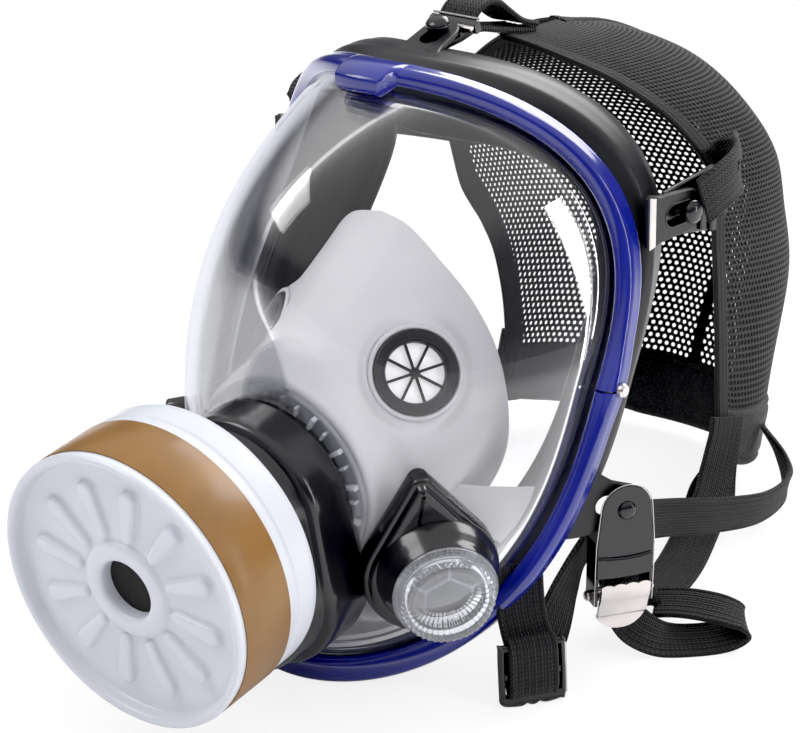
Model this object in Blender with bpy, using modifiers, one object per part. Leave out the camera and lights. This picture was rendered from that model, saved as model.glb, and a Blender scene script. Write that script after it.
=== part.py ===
"""Full face respirator: a one-piece dome lens in a two-part clamp hoop, a rubber face seal, an inner nose cup,
a front port with a screw-on filter canister, two capped exhale ports, and a five-point mesh head harness.

Design frame, in millimetres: the origin is the centre of the canister's front, X = 0 is the mask's plane of
symmetry with the wearer's left at +X, the mask looks along -Y, and +Z is up. place() moves it to the world
frame, in metres, whose origin is the centre of the bounding box's bottom.
"""

import math

import bmesh
import bpy
from mathutils import Matrix, Vector

MM = 0.001
WORLD_ORIGIN = Vector((0.0, 199.0, -69.6))  # in the design frame
SIDES = ((1, "left"), (-1, "right"))
UP = (0, 0, 1)
FULL_TURN = 2 * math.pi

# Canister and front port: heights run back along one axis, which dips forward
AXIS_TILT = math.radians(7.6)
CANISTER_R = 52.2
CANISTER_BACK = 44.2
FILTER_R = 50.4
NECK_R = 20.0
NECK_END = 59.0
LABEL_FROM, LABEL_TO = 4.2, 26.0
PORT_FACE = 50.2
PORT_STEP = 65.0
PORT_TOP_R = 34.0
PORT_LOW_R, PORT_LOW = 37.0, 30.0  # the lower lobe and its distance below the axis
SLEEVE_R = 27.6
SLEEVE_GAP = 0.4
NUT_R, NUT_FROM, NUT_TO = 33.0, 86.0, 95.0
NUT_SLOTS = 18
GASKET_R, GASKET_FROM = 32.4, 76.0

# Hoop: its inner edge in front view, and how far back it lies
HALF_W, HALF_H = 84.4, 103.5
HOOP_Z = 44.1
HOOP_POWER_TOP, HOOP_POWER_LOW = 0.907, 0.818  # below 1 squares the outline
HOOP_TAPER = 0.021  # narrower at the top
HOOP_Y = 26.4
SIDE_BEND = 124.1  # back, by the square of x / 80
CORNER_BEND = 30.4  # back, by that square times z / 100
HOOP_LEAN = 0.259  # back, by z
END_BEND = 81.1  # back, by the square of z / 100
HOOP_BAND = 6.6
HOOP_EXTRA_LOW = 3.6  # the hoop is wider under the chin
SEAM = -0.01  # angle of the left seam; the right one mirrors it
SEAM_GAP = 0.0022  # half the gap, as an angle
BOSS_H, BOSS_SPREAD = 1.5, 0.08  # swelling beside each seam; the spread is an angle
CLIP_FLAT, CLIP_EDGE = 8.0, 11.5  # |x| where the top clip starts to fade and where it ends

# Lens
LENS_FRONT_Y, LENS_FRONT_Z = 75.4, 64.1
LENS_POWER = 2.95
LENS_T = 2.0
TRIM_GAP = 0.4
TRIM_DEPTH = 90

# Exhale ports, on the lens surface
EXHALE_SPREAD, EXHALE_ANGLE = 0.8186, -0.701
CAP_R = 19.0

# Nose cup
CUP_T = 1.9
CUP_STEPS = 32
CUP_BELL_R, CUP_BELL_BACK = 40.5, 95.5
CUP_CENTRE = Vector((0, 150, 25))
CUP_VALVE_AT = (34.5, 122.0, 49.5)
CUP_VALVE_AXIS = (0.66, -0.58, 0.47)

# Harness
WEBBING_W, WEBBING_T = 20.0, 1.7
TAB_T = 2.2
JAW_TAB_LENGTH, JAW_TAB_W = 22.0, 18.0
BUCKLE_AT = (92.7, 171.4, -5.2)
BUCKLE_FACING = (0.82, -0.57, 0.0)
PIN_Y = -35.6  # the lever's pin, in the jaw buckle's frame
PIN_R, PIN_HOLE_R, PIN_HALF = 1.0, 1.35, 13.4

for old in list(bpy.data.objects):
    bpy.data.objects.remove(old, do_unlink=True)
parts = bpy.data.collections.new("full_face_respirator")
cutters = bpy.data.collections.new("cutters")
cutters.hide_render = True
for group in (parts, cutters):
    bpy.context.scene.collection.children.link(group)


# ---------------------------------------------------------------- materials
def material(name, colour, roughness, metallic=0.0, alpha=1.0, transmission=0.0):
    made = bpy.data.materials.new(name)
    made.use_nodes = True
    shader = made.node_tree.nodes["Principled BSDF"]
    shader.inputs["Base Color"].default_value = (*colour, 1.0)
    shader.inputs["Roughness"].default_value = roughness
    shader.inputs["Metallic"].default_value = metallic
    shader.inputs["Alpha"].default_value = alpha
    shader.inputs["Transmission Weight"].default_value = transmission
    made.diffuse_color = (*colour, alpha)
    return made


CLEAR = material(
    "clear_lens", colour=(0.9, 0.92, 0.95), roughness=0.05, alpha=0.3, transmission=0.9
)
BLUE = material("blue_gloss", colour=(0.02, 0.03, 0.24), roughness=0.2)
RUBBER = material("black_rubber", colour=(0.03, 0.03, 0.032), roughness=0.6)
SILICONE = material("grey_silicone", colour=(0.6, 0.6, 0.6), roughness=0.45)
FLAP = material("white_silicone", colour=(0.85, 0.85, 0.84), roughness=0.5)
BLACK = material("black_plastic", colour=(0.02, 0.02, 0.022), roughness=0.3)
GREY = material("grey_clear_plastic", colour=(0.35, 0.37, 0.4), roughness=0.25)
CLEAR_CAP = material(
    "clear_cap", colour=(0.8, 0.82, 0.84), roughness=0.08, alpha=0.5, transmission=0.8
)
WHITE = material("white_paint", colour=(0.85, 0.86, 0.88), roughness=0.35)
GOLD = material("label_gold", colour=(0.45, 0.25, 0.06), roughness=0.45)
PAPER = material("filter_paper", colour=(0.85, 0.84, 0.8), roughness=0.9)
CARBON = material("carbon", colour=(0.02, 0.02, 0.02), roughness=0.9)
STEEL = material("nickel_steel", colour=(0.62, 0.6, 0.62), roughness=0.3, metallic=1.0)
DARK_STEEL = material("black_steel", colour=(0.03, 0.03, 0.035), roughness=0.35, metallic=0.6)
WEBBING = material("black_webbing", colour=(0.03, 0.03, 0.032), roughness=0.85)
MESH = material("black_mesh", colour=(0.02, 0.02, 0.022), roughness=0.9)


# ---------------------------------------------------------------- frames
def frame_of(origin, x, y, z):
    turn = Matrix((x, y, z)).transposed()
    return Matrix.Translation(Vector(origin)) @ turn.to_4x4()


def axes(origin, z, y_hint):
    """A frame with z along the given axis and y as near y_hint as it can be."""
    z = Vector(z).normalized()
    y = (Vector(y_hint) - z * z.dot(Vector(y_hint))).normalized()
    return frame_of(origin, y.cross(z), y, z)


def tab_frame(origin, along, out):
    """A frame with x along a tab and z out of its face."""
    x = Vector(along).normalized()
    z = (Vector(out) - x * x.dot(Vector(out))).normalized()
    return frame_of(origin, x, z.cross(x), z)


def to_side(side, point):
    """A point or direction given for the wearer's left, mirrored when side is -1."""
    return Vector((side * point[0], point[1], point[2]))


def shifted(x=0.0, y=0.0, z=0.0):
    return Matrix.Translation((x, y, z))


def place(obj, frame):
    """Puts an object whose mesh is in metres at a frame of the design's millimetres."""
    at = frame.to_translation() - WORLD_ORIGIN
    obj.matrix_world = Matrix.Translation(at * MM) @ frame.to_3x3().to_4x4()


HOME = Matrix.Identity(4)
# Local x is -X, local y is up and local z runs back into the mask
PORT = axes((0, 0, 0), (0, math.cos(AXIS_TILT), math.sin(AXIS_TILT)), UP)


# ---------------------------------------------------------------- modelling helpers
def add(name, mesh, paint, frame=HOME, smooth=40):
    for vertex in mesh.vertices:
        vertex.co *= MM
    obj = bpy.data.objects.new(name, mesh)
    parts.objects.link(obj)
    if paint is not None:
        mesh.materials.append(paint)
    if smooth and mesh.polygons:
        mesh.shade_smooth()
        mesh.set_sharp_from_angle(angle=math.radians(smooth))
    place(obj, frame)
    return obj


def from_bmesh(name, build, paint, frame=HOME, smooth=40):
    mesh = bpy.data.meshes.new(name)
    build.to_mesh(mesh)
    build.free()
    return add(name, mesh, paint, frame, smooth)


def section(inner, outer, low, high):
    """The rectangular profile of a ring, or of a disc when inner is 0."""
    return [(inner, low), (outer, low), (outer, high), (inner, high)]


def turned(name, profile, paint, frame=PORT, steps=32):
    """A profile of (radius, height) points turned about the frame's z axis.

    The profile closes on itself, unless both its ends are on the axis.
    """
    pairs = zip(profile, profile[1:] + profile[:1])
    area = sum(a[0] * b[1] - b[0] * a[1] for a, b in pairs)
    points = profile if area < 0 else profile[::-1]
    open_ended = profile[0][0] == 0 and profile[-1][0] == 0
    mesh = bpy.data.meshes.new(name)
    count = len(points)
    edges = [(i, i + 1) for i in range(count - 1)]
    if not open_ended:
        edges.append((count - 1, 0))
    mesh.from_pydata([(r, 0.0, z) for r, z in points], edges, [])
    obj = add(name, mesh, paint, frame)
    screw = obj.modifiers.new("turn", "SCREW")
    screw.axis = "Z"
    screw.angle = FULL_TURN
    screw.steps = screw.render_steps = steps
    screw.use_merge_vertices = True
    screw.merge_threshold = 0.00001
    screw.use_smooth_shade = True
    return obj


def loft(name, rings, paint, frame=HOME, around=False, smooth=40):
    """Skins closed loops of equal length: capped ends, or joined last to first if around."""
    build = bmesh.new()
    made = [[build.verts.new(p) for p in ring] for ring in rings]
    count = len(rings[0])
    following = made[1:] + made[:1] if around else made[1:]
    for a, b in zip(made, following):
        for i in range(count):
            j = (i + 1) % count
            build.faces.new((a[i], a[j], b[j], b[i]))
    if not around:
        build.faces.new(made[0][::-1])
        build.faces.new(made[-1])
    bmesh.ops.recalc_face_normals(build, faces=build.faces)
    if build.calc_volume(signed=True) < 0:
        bmesh.ops.reverse_faces(build, faces=build.faces)
    return from_bmesh(name, build, paint, frame, smooth)


def thicken(obj, thickness, offset):
    shell = obj.modifiers.new("thickness", "SOLIDIFY")
    shell.thickness = thickness * MM
    shell.offset = offset
    shell.use_even_offset = True


def sheet(name, x_steps, y_steps, point, thickness, paint, smooth=60):
    """A solid sheet, made from a grid bent to point(u, v) with u and v from 0 to 1."""
    build = bmesh.new()
    bmesh.ops.create_grid(build, x_segments=x_steps, y_segments=y_steps, size=0.5)
    for vertex in build.verts:
        vertex.co = point(vertex.co.x + 0.5, vertex.co.y + 0.5)
    obj = from_bmesh(name, build, paint, smooth=smooth)
    thicken(obj, thickness, offset=0.0)
    return obj


def plate(name, outlines, thickness, paint, frame, middle=0.0):
    """A flat piece in the frame's xy plane: a filled outline, then the outlines of its holes."""
    curve = bpy.data.curves.new(name, "CURVE")
    curve.dimensions = "2D"
    curve.fill_mode = "BOTH"
    curve.extrude = thickness * MM / 2
    for outline in outlines:
        spline = curve.splines.new("POLY")
        spline.points.add(len(outline) - 1)
        spline.use_cyclic_u = True
        for target, (x, y) in zip(spline.points, outline):
            target.co = (x * MM, y * MM, 0.0, 1.0)
    curve.materials.append(paint)
    obj = bpy.data.objects.new(name, curve)
    parts.objects.link(obj)
    place(obj, frame @ shifted(z=middle))
    return obj


def as_mesh(obj):
    """Replaces an object by its evaluated, welded mesh, so that it can take a boolean."""
    bpy.context.view_layer.update()
    graph = bpy.context.evaluated_depsgraph_get()
    mesh = bpy.data.meshes.new_from_object(obj.evaluated_get(graph), depsgraph=graph)
    build = bmesh.new()
    build.from_mesh(mesh)
    bmesh.ops.remove_doubles(build, verts=build.verts, dist=0.00001)
    bmesh.ops.recalc_face_normals(build, faces=build.faces)
    build.to_mesh(mesh)
    build.free()
    name, matrix = obj.name, obj.matrix_world.copy()
    made = bpy.data.objects.new(name, mesh)
    parts.objects.link(made)
    bpy.data.objects.remove(obj, do_unlink=True)
    made.name = name
    made.matrix_world = matrix
    return made


def tool(obj):
    """Makes an object a boolean helper: out of the render and drawn as wire."""
    obj.name = "cutter_" + obj.name
    parts.objects.unlink(obj)
    cutters.objects.link(obj)
    obj.hide_render = True
    obj.display_type = "WIRE"
    return obj


def turned_tool(name, profile, frame=PORT, steps=32):
    return tool(turned(name, profile, None, frame, steps))


def block(low, high):
    """The matrix that turns a unit cube into the box between two corners."""
    size = [b - a for a, b in zip(low, high)]
    middle = [(a + b) / 2 for a, b in zip(low, high)]
    return Matrix.Translation(middle) @ Matrix.Diagonal((*size, 1))


def spoke(turn, middle, size):
    """The matrix that turns a unit cube into a block centred on middle, turned about z."""
    spin = Matrix.Rotation(turn, 4, "Z")
    return spin @ Matrix.Translation(middle) @ Matrix.Diagonal((*size, 1))


def blocks_tool(name, matrices, frame, smooth=0):
    build = bmesh.new()
    for matrix in matrices:
        bmesh.ops.create_cube(build, size=1.0, matrix=matrix)
    return tool(from_bmesh(name, build, None, frame, smooth))


def boolean(obj, other, operation="DIFFERENCE"):
    step = obj.modifiers.new(operation.lower(), "BOOLEAN")
    step.operation = operation
    step.solver = "EXACT"
    step.object = other
    return obj


def two_circles(first, first_r, second, second_r, first_steps=12, second_steps=12):
    """The outline that wraps two circles, counter-clockwise, starting round the second."""
    between = Vector(second) - Vector(first)
    heading = math.atan2(between.y, between.x)
    lean = math.acos((first_r - second_r) / between.length)
    points = []
    for (x, y), radius, start, end, steps in (
        (second, second_r, heading - lean, heading + lean, second_steps),
        (first, first_r, heading + lean, heading + FULL_TURN - lean, first_steps),
    ):
        for i in range(steps + 1):
            angle = start + (end - start) * i / steps
            points.append((x + radius * math.cos(angle), y + radius * math.sin(angle)))
    return points


def path_through(points, steps, widths=None):
    """steps + 1 places on a Catmull-Rom curve through points, evenly spaced by length.

    Each is a point and the direction across the path there.
    """
    ends = [Vector(p) for p in points]
    ends = [2 * ends[0] - ends[1]] + ends + [2 * ends[-1] - ends[-2]]
    across = [Vector(w).normalized() for w in widths or [UP] * len(points)]
    fine = []
    for i in range(1, len(ends) - 2):
        a, b, c, d = ends[i - 1 : i + 3]
        for k in range(16):
            t = k / 16
            square = (2 * a - 5 * b + 4 * c - d) * t * t
            cube = (3 * b - a - 3 * c + d) * t**3
            at = 0.5 * ((2 * b) + (c - a) * t + square + cube)
            fine.append((at, across[i - 1].lerp(across[i], t)))
    fine.append((ends[-2], across[-1]))
    run = [0.0]
    for (a, _), (b, _) in zip(fine, fine[1:]):
        run.append(run[-1] + (b - a).length)
    places = []
    k = 0
    for i in range(steps + 1):
        want = run[-1] * i / steps
        while k < len(run) - 2 and run[k + 1] < want:
            k += 1
        share = min(max((want - run[k]) / max(run[k + 1] - run[k], 1e-9), 0), 1)
        here, ahead = fine[k], fine[k + 1]
        places.append((here[0].lerp(ahead[0], share), here[1].lerp(ahead[1], share)))
    return places


def power(value, exponent):
    """A power that keeps the value's sign."""
    return math.copysign(abs(value) ** exponent, value)


def valve_seat(name, frame, low, high, outer, inner, spokes, hub=3.2, width=1.6):
    """A ring with a hub on spokes, from height low to high."""
    ring = turned(name, section(inner, outer, low, high), BLACK, frame, steps=24)
    hub_side = hub * 0.8
    rim_side = inner + 0.8
    middle = ((rim_side + hub_side) / 2, 0, (low + high) / 2)
    size = (rim_side - hub_side, width, (high - low) * 0.7)
    bars = [spoke(FULL_TURN * i / spokes, middle, size) for i in range(spokes)]
    boolean(ring, blocks_tool(name + "_bars", bars, frame), "UNION")
    hub_profile = section(0, hub, low + 0.1, high - 0.1)
    boolean(ring, turned_tool(name + "_hub", hub_profile, frame, 16), "UNION")


def valve_disc(name, frame, face_r, edge_r, low, edge, high):
    profile = [(0, low), (face_r, low), (edge_r, edge), (face_r, high), (0, high)]
    turned(name, profile, FLAP, frame, steps=20)


# ---------------------------------------------------------------- lens and hoop surfaces
def hoop(angle):
    """The hoop's inner edge, at an angle from the wearer's left over the top."""
    up = power(math.sin(angle), HOOP_POWER_TOP if math.sin(angle) > 0 else HOOP_POWER_LOW)
    exponent = HOOP_POWER_TOP if math.sin(angle) > 0 else HOOP_POWER_LOW
    x = HALF_W * power(math.cos(angle), exponent) * (1 - HOOP_TAPER * up)
    z = HALF_H * up
    side, height = (x / 80) ** 2, z / 100
    bend = SIDE_BEND * side + CORNER_BEND * side * height
    y = HOOP_Y + bend + HOOP_LEAN * z + END_BEND * height * height
    return Vector((x, y, HOOP_Z + z))


def hoop_out(angle):
    """The outward direction of the hoop in the XZ plane."""
    step = 0.02
    run = hoop(angle + step) - hoop(angle - step)
    return Vector((run.z, 0, -run.x)).normalized()


def at_hoop(angle, out, back):
    return hoop(angle) + hoop_out(angle) * out + Vector((0, back, 0))


def dome(spread, angle, lift=0.0):
    """The lens's outer surface: spread 0 is its foremost point and 1 is the hoop.

    lift moves out along the surface's normal.
    """
    edge = hoop(angle)
    point = Vector((
        spread * edge.x,
        LENS_FRONT_Y + (edge.y - LENS_FRONT_Y) * spread**LENS_POWER,
        LENS_FRONT_Z * (1 - spread) + spread * edge.z,
    ))
    return point + dome_normal(spread, angle) * lift if lift else point


def dome_normal(spread, angle):
    step = 1e-3
    spread = max(spread, 0.02)
    outward = dome(spread + step, angle) - dome(spread - step, angle)
    around = dome(spread, angle + step) - dome(spread, angle - step)
    normal = outward.cross(around).normalized()
    return normal if normal.y < 0 else -normal


# Even steps round the hoop, and extra ones where the top clip changes shape
ANGLES = sorted(
    [FULL_TURN * i / 40 for i in range(40)]
    + [math.acos(x / 88) for x in (-11.8, -10.0, -8.0, 8.0, 10.0, 11.8)]
)
SPREADS = (0.2, 0.4, 0.58, 0.74, 0.86, 0.94, 0.972)


def dome_solid(name, lift):
    """A closed solid behind the dome's surface, for trimming pieces to the lens."""
    rings = [[dome(spread, t, lift) for t in ANGLES] for spread in SPREADS + (1.0, 1.035)]
    rings.append([point + Vector((0, TRIM_DEPTH, 0)) for point in rings[-1]])
    return tool(loft(name, rings, None))


outside = dome_solid("outside", TRIM_GAP)
inside = dome_solid("inside", -LENS_T - TRIM_GAP)

# A solid a little larger than the hoop, for trimming the port covers beside it: (out, back)
HOOP_SPACE = [(-0.5, 20), (-0.5, 0.2), (0.4, -1.0), (2, -1.9), (14, -1.9), (14, 20)]
hoop_space = tool(
    loft(
        "hoop_space",
        [[at_hoop(t, out, back) for out, back in HOOP_SPACE] for t in ANGLES],
        None,
        around=True,
    )
)


# ---------------------------------------------------------------- lens
def make_lens():
    """The dome and a flange that the hoop clamps, with the front port's hole."""
    build = bmesh.new()
    tip = build.verts.new(dome(0.0, 0.0))
    rows = [[dome(spread, t) for t in ANGLES] for spread in SPREADS]
    for out, back in ((-1.2, 2.4), (-0.4, 3.3), (4.5, 3.3)):
        rows.append([at_hoop(t, out, back) for t in ANGLES])
    rows = [[build.verts.new(p) for p in row] for row in rows]
    for i in range(len(ANGLES)):
        j = (i + 1) % len(ANGLES)
        build.faces.new((tip, rows[0][j], rows[0][i]))
        for a, b in zip(rows, rows[1:]):
            build.faces.new((a[i], a[j], b[j], b[i]))
    bmesh.ops.recalc_face_normals(build, faces=build.faces)
    build.faces.ensure_lookup_table()
    if build.faces[0].normal.y > 0:
        bmesh.ops.reverse_faces(build, faces=build.faces)
    made = from_bmesh("lens", build, CLEAR, smooth=50)
    thicken(made, LENS_T, offset=-1)
    return boolean(made, turned_tool("port_hole", section(0, 28.2, 55, 105)))


lens = make_lens()

# ---------------------------------------------------------------- clamp hoop
# Sections as (out, back) from the hoop's inner edge. Both end in the same channel,
# which goes over the lens flange and the seal's bead
HOOP_CHANNEL = [
    (HOOP_BAND, 8.0), (5.8, 8.8), (1.9, 8.8), (1.9, 7.4), (5.2, 7.4), (5.2, 2.9), (0.0, 2.9),
]
HOOP_SECTION = [
    (0.0, 0.9), (0.5, -0.3), (1.8, -1.1), (3.6, -1.2), (5.3, -0.4), (6.3, 1.2), (HOOP_BAND, 3.2),
] + HOOP_CHANNEL
CLIP_SECTION = [  # at the middle of the top
    (-2.6, -6.2), (-1.8, -8.2), (1.6, -9.0), (3.8, -8.6), (5.6, -5.6), (6.9, -1.0),
    (HOOP_BAND + 0.5, 3.2),
] + HOOP_CHANNEL


def hoop_ring(angle):
    clip = 0.0
    if math.sin(angle) > 0.5:
        clip = (CLIP_EDGE - abs(hoop(angle).x)) / (CLIP_EDGE - CLIP_FLAT)
        clip = min(max(clip, 0), 1)
        clip = clip * clip * (3 - 2 * clip)
    near = min(
        abs(math.remainder(angle - SEAM, FULL_TURN)),
        abs(math.remainder(angle - math.pi + SEAM, FULL_TURN)),
    )
    boss = BOSS_H * math.exp(-((near / BOSS_SPREAD) ** 2))
    ring = []
    for (hoop_n, hoop_y), (clip_n, clip_y) in zip(HOOP_SECTION, CLIP_SECTION):
        out = hoop_n + (clip_n - hoop_n) * clip
        back = hoop_y + (clip_y - hoop_y) * clip
        if out > 0:
            out += HOOP_EXTRA_LOW * max(-math.sin(angle), 0) ** 2 * out / HOOP_BAND
        if out > 5.5:  # only the outer wall swells
            out += boss
        ring.append(at_hoop(angle, out, back))
    return ring


def hoop_part(name, start, end):
    between = [t for t in ANGLES if start + 0.004 < t < end - 0.004]
    loft(name, [hoop_ring(t) for t in [start] + between + [end]], BLUE, smooth=32)


hoop_part("rim_upper", SEAM + SEAM_GAP, math.pi - SEAM - SEAM_GAP)
hoop_part("rim_lower", math.pi - SEAM + SEAM_GAP, FULL_TURN + SEAM - SEAM_GAP)

# Screws that pull the two hoops together at the sides
for side, tag in SIDES:
    seam = SEAM if side > 0 else math.pi - SEAM
    turned(
        "rim_screw_" + tag,
        [(0, -0.6), (2.4, -0.6), (2.4, 0.6), (1.7, 1.2), (0, 1.2)],
        STEEL,
        axes(at_hoop(seam, HOOP_BAND + 2.6, 4.6), (side, 0, 0), UP),
        steps=12,
    )

# ---------------------------------------------------------------- face seal
# The wall's middle line as (out, back) from the hoop's edge, at the sides, top and bottom;
# then half its thickness, and how far it bulges out at the upper corners.
# The first row only gives the direction in which the wall starts
SEAL_WALL = [
    ((0.3, 10.2), (0.3, 10.2), (0.3, 10.2), 0.0, 0.0),
    ((2.6, 14.5), (3.6, 18.0), (2.5, 19.0), 1.2, 5.5),
    ((0.8, 24.0), (4.6, 31.0), (2.0, 30.0), 1.2, 7.0),
    ((-4.5, 31.5), (2.0, 41.0), (-1.0, 41.0), 1.15, 4.5),
    ((-12.0, 37.5), (-5.0, 46.0), (-7.0, 48.0), 1.1, 0.0),
    ((-20.0, 36.5), (-16.0, 42.0), (-15.0, 46.0), 1.0, 0.0),
    ((-28.0, 31.0), (-27.0, 32.0), (-22.0, 38.0), 0.75, 0.0),
]
# The bead in the hoop's channel, before and after the wall, as (out, back)
SEAL_BEAD_OUTER = [(-4.6, 3.9), (-4.6, 6.1), (4.5, 5.9), (4.5, 7.1), (1.4, 7.1), (1.3, 10.4)]
SEAL_BEAD_INNER = [(-1.3, 10.4), (-2.4, 8.6), (-6.4, 7.8), (-6.6, 3.9)]


def seal_line(angle):
    sine = math.sin(angle)
    top, low = max(sine, 0) ** 2, max(-sine, 0) ** 2
    line = []
    for at_side, at_top, at_low, _, bulge in SEAL_WALL:
        out, back = (
            a * (1 - top - low) + b * top + c * low for a, b, c in zip(at_side, at_top, at_low)
        )
        if sine > 0:
            out += bulge * math.sin(2 * angle) ** 2
        line.append((out, back))
    return line


def seal_ring(angle):
    line = seal_line(angle)
    outer, inner = [], []
    for k in range(1, len(line)):
        out, back = line[k]
        before, after = line[k - 1], line[min(k + 1, len(line) - 1)]
        run = Vector((after[0] - before[0], after[1] - before[1])).normalized()
        half = SEAL_WALL[k][3]
        outer.append((out + run.y * half, back - run.x * half))
        inner.append((out - run.y * half, back + run.x * half))
    points = SEAL_BEAD_OUTER + outer + inner[::-1] + SEAL_BEAD_INNER
    return [at_hoop(angle, out, back) for out, back in points]


loft("face_seal", [seal_ring(t) for t in ANGLES], RUBBER, around=True, smooth=50)


# ---------------------------------------------------------------- front port
def port_loft(name, stations, paint=None, smooth=40):
    """The port's two-lobed outline, skinned through (inset, height) stations."""
    rings = []
    for inset, height in stations:
        low_centre = (0, -PORT_LOW)
        outline = two_circles((0, 0), PORT_TOP_R - inset, low_centre, PORT_LOW_R - inset)
        rings.append([Vector((x, y, height)) for x, y in outline])
    return loft(name, rings, paint, PORT, smooth=smooth)


def make_port_housing():
    housing = port_loft(
        "port_housing",
        [
            (9.0, PORT_FACE), (6.0, PORT_FACE + 1.4), (4.0, PORT_FACE + 5.0),
            (3.2, PORT_STEP), (1.0, PORT_STEP + 0.6), (0.0, PORT_STEP + 2.0), (0.0, 100.0),
        ],
        BLACK,
        smooth=35,
    )
    boolean(housing, tool(port_loft("port_hollow", [(6.8, 56.0), (3.2, 68.0), (3.2, 110.0)])))
    boolean(housing, outside)
    boolean(housing, hoop_space)
    sleeve = section(0, SLEEVE_R, 54, NUT_TO)
    boolean(housing, turned_tool("port_sleeve", sleeve), "UNION")
    bore_r = NECK_R + 0.5
    bore = [(0, 40), (bore_r, 40), (bore_r, 68), (22.0, 69.5), (22.0, 110), (0, 110)]
    boolean(housing, turned_tool("port_bore", bore))


def make_port_nut():
    profile = section(SLEEVE_R + SLEEVE_GAP, NUT_R, NUT_FROM, NUT_TO)
    nut = turned("port_ring_nut", profile, GREY, steps=36)
    slots = [
        spoke(FULL_TURN * (i + 0.5) / NUT_SLOTS, (NUT_R, 0, 90.6), (3.0, 6.4, 5.6))
        for i in range(NUT_SLOTS)
    ]
    boolean(nut, blocks_tool("nut_slots", slots, PORT, smooth=40))


def make_port_gasket():
    profile = section(SLEEVE_R + SLEEVE_GAP, GASKET_R, GASKET_FROM, NUT_FROM - 0.3)
    boolean(turned("port_gasket", profile, RUBBER, steps=24), inside, "INTERSECT")


make_port_housing()
make_port_nut()
make_port_gasket()
valve_seat("port_valve_seat", PORT, low=72.0, high=75.0, outer=21.6, inner=17.4, spokes=6)
valve_disc("port_valve_disc", PORT, face_r=18.6, edge_r=19.4, low=75.4, edge=75.8, high=76.4)

# ---------------------------------------------------------------- canister
# Profiles as (radius, height back from the canister's front)
SHELL_PROFILE = [
    (CANISTER_R, 3.2), (CANISTER_R, 40.4), (50.9, 43.0), (48.2, CANISTER_BACK), (23.0, 44.5),
    (NECK_R, 46.4), (NECK_R, NECK_END - 0.8), (19.2, NECK_END), (14.6, NECK_END), (14.6, 44.6),
    (22.0, 43.2), (47.8, 43.0), (51.2, 39.6), (51.2, 3.2),
]
COVER_PROFILE = [
    (52.5, 2.9), (52.5, 0.8), (51.6, 0.0), (49.7, 0.0), (48.6, 1.0), (48.3, 5.0), (18.6, 4.5),
    (17.6, 2.6), (12.2, 2.4), (11.0, 3.6), (11.0, 8.6), (12.2, 8.6), (12.2, 6.0), (48.0, 6.4),
    (50.8, 5.4), (50.8, 2.9),
]
# Discs inside the shell: name, front, back, material
FILTER_LAYERS = [
    ("particulate_filter", 9.4, 17.2, PAPER),
    ("screen_front", 17.6, 18.2, STEEL),
    ("carbon_bed", 18.6, 37.6, CARBON),
    ("screen_rear", 38.0, 38.6, STEEL),
]
COVER_RIBS = 12


def cover_ribs():
    """Radial teardrop ribs on the cover, wider at the rim."""
    outline = two_circles((22.5, 0), 2.0, (36.5, 0), 3.4, 2, 3)
    build = bmesh.new()
    for i in range(COVER_RIBS):
        turn = Matrix.Rotation(FULL_TURN * (i + 0.35) / COVER_RIBS, 4, "Z")
        front, back = (
            [build.verts.new(turn @ Vector((x, y, height))) for x, y in outline]
            for height in (3.7, 5.5)
        )
        build.faces.new(front)
        build.faces.new(back[::-1])
        for k in range(len(front)):
            j = (k + 1) % len(front)
            build.faces.new((front[k], back[k], back[j], front[j]))
    bmesh.ops.recalc_face_normals(build, faces=build.faces)
    return tool(from_bmesh("cover_ribs", build, None, PORT, 0))


turned("canister_shell", SHELL_PROFILE, WHITE, steps=40)
boolean(turned("canister_cover", COVER_PROFILE, WHITE, steps=40), cover_ribs(), "UNION")
label_profile = section(CANISTER_R + 0.3, CANISTER_R + 0.7, LABEL_FROM, LABEL_TO)
turned("canister_label", label_profile, GOLD, steps=40)
for name, front, back, paint in FILTER_LAYERS:
    turned(name, section(0, FILTER_R, front, back), paint, steps=28)
turned("canister_gasket", section(20.5, 25.0, 46.8, 49.8), RUBBER, steps=24)

# ---------------------------------------------------------------- exhale ports
# Heights run out from the lens surface
port_space = tool(port_loft("port_space", [(-0.5, 55), (-0.5, 102)]))

# Cover stations: inset, height
COVER_STATIONS = [(0, -26), (0, 3.6), (0.9, 4.4), (2.0, 4.8), (2.2, 7.0), (3.2, 7.8)]
CONE_PROFILE = [
    (0, 2), (22.4, 2), (22.2, 8.0), (20.4, 12.5), (18.4, 17.0), (17.8, 19.0), (0, 19.0),
]
BORE_PROFILE = [
    (0, -30), (17.3, -30), (17.3, 2.2), (15.2, 2.2), (15.2, 15.8), (16.6, 15.8), (16.6, 24),
    (0, 24),
]
# Cap stations: radius, height, depth of the grip notches
CAP_STATIONS = [
    (CAP_R, 19.4, 0), (CAP_R, 20.8, 0), (18.0, 21.2, 0), (18.0, 21.4, 0.9), (17.4, 26.6, 0.9),
    (16.6, 27.6, 0.5), (14.6, 27.8, 0),
]
CAP_HOLLOW = [(0, 10), (15.0, 10), (15.0, 25.4), (14.0, 26.4), (0, 26.4)]
CAP_STEPS = 40


def cover_ring(side, inset, height):
    """A teardrop whose apex is up and leans towards the front port.

    Local x points outwards and back on the left, and inwards and forward on the right.
    """
    apex, base = (-6.4 * side, 33.8), (-1.2 * side, -3.2)
    outline = two_circles(apex, 4.0 - inset, base, 25.0 - inset, 5, 18)
    return [Vector((x, y, height)) for x, y in outline]


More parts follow.
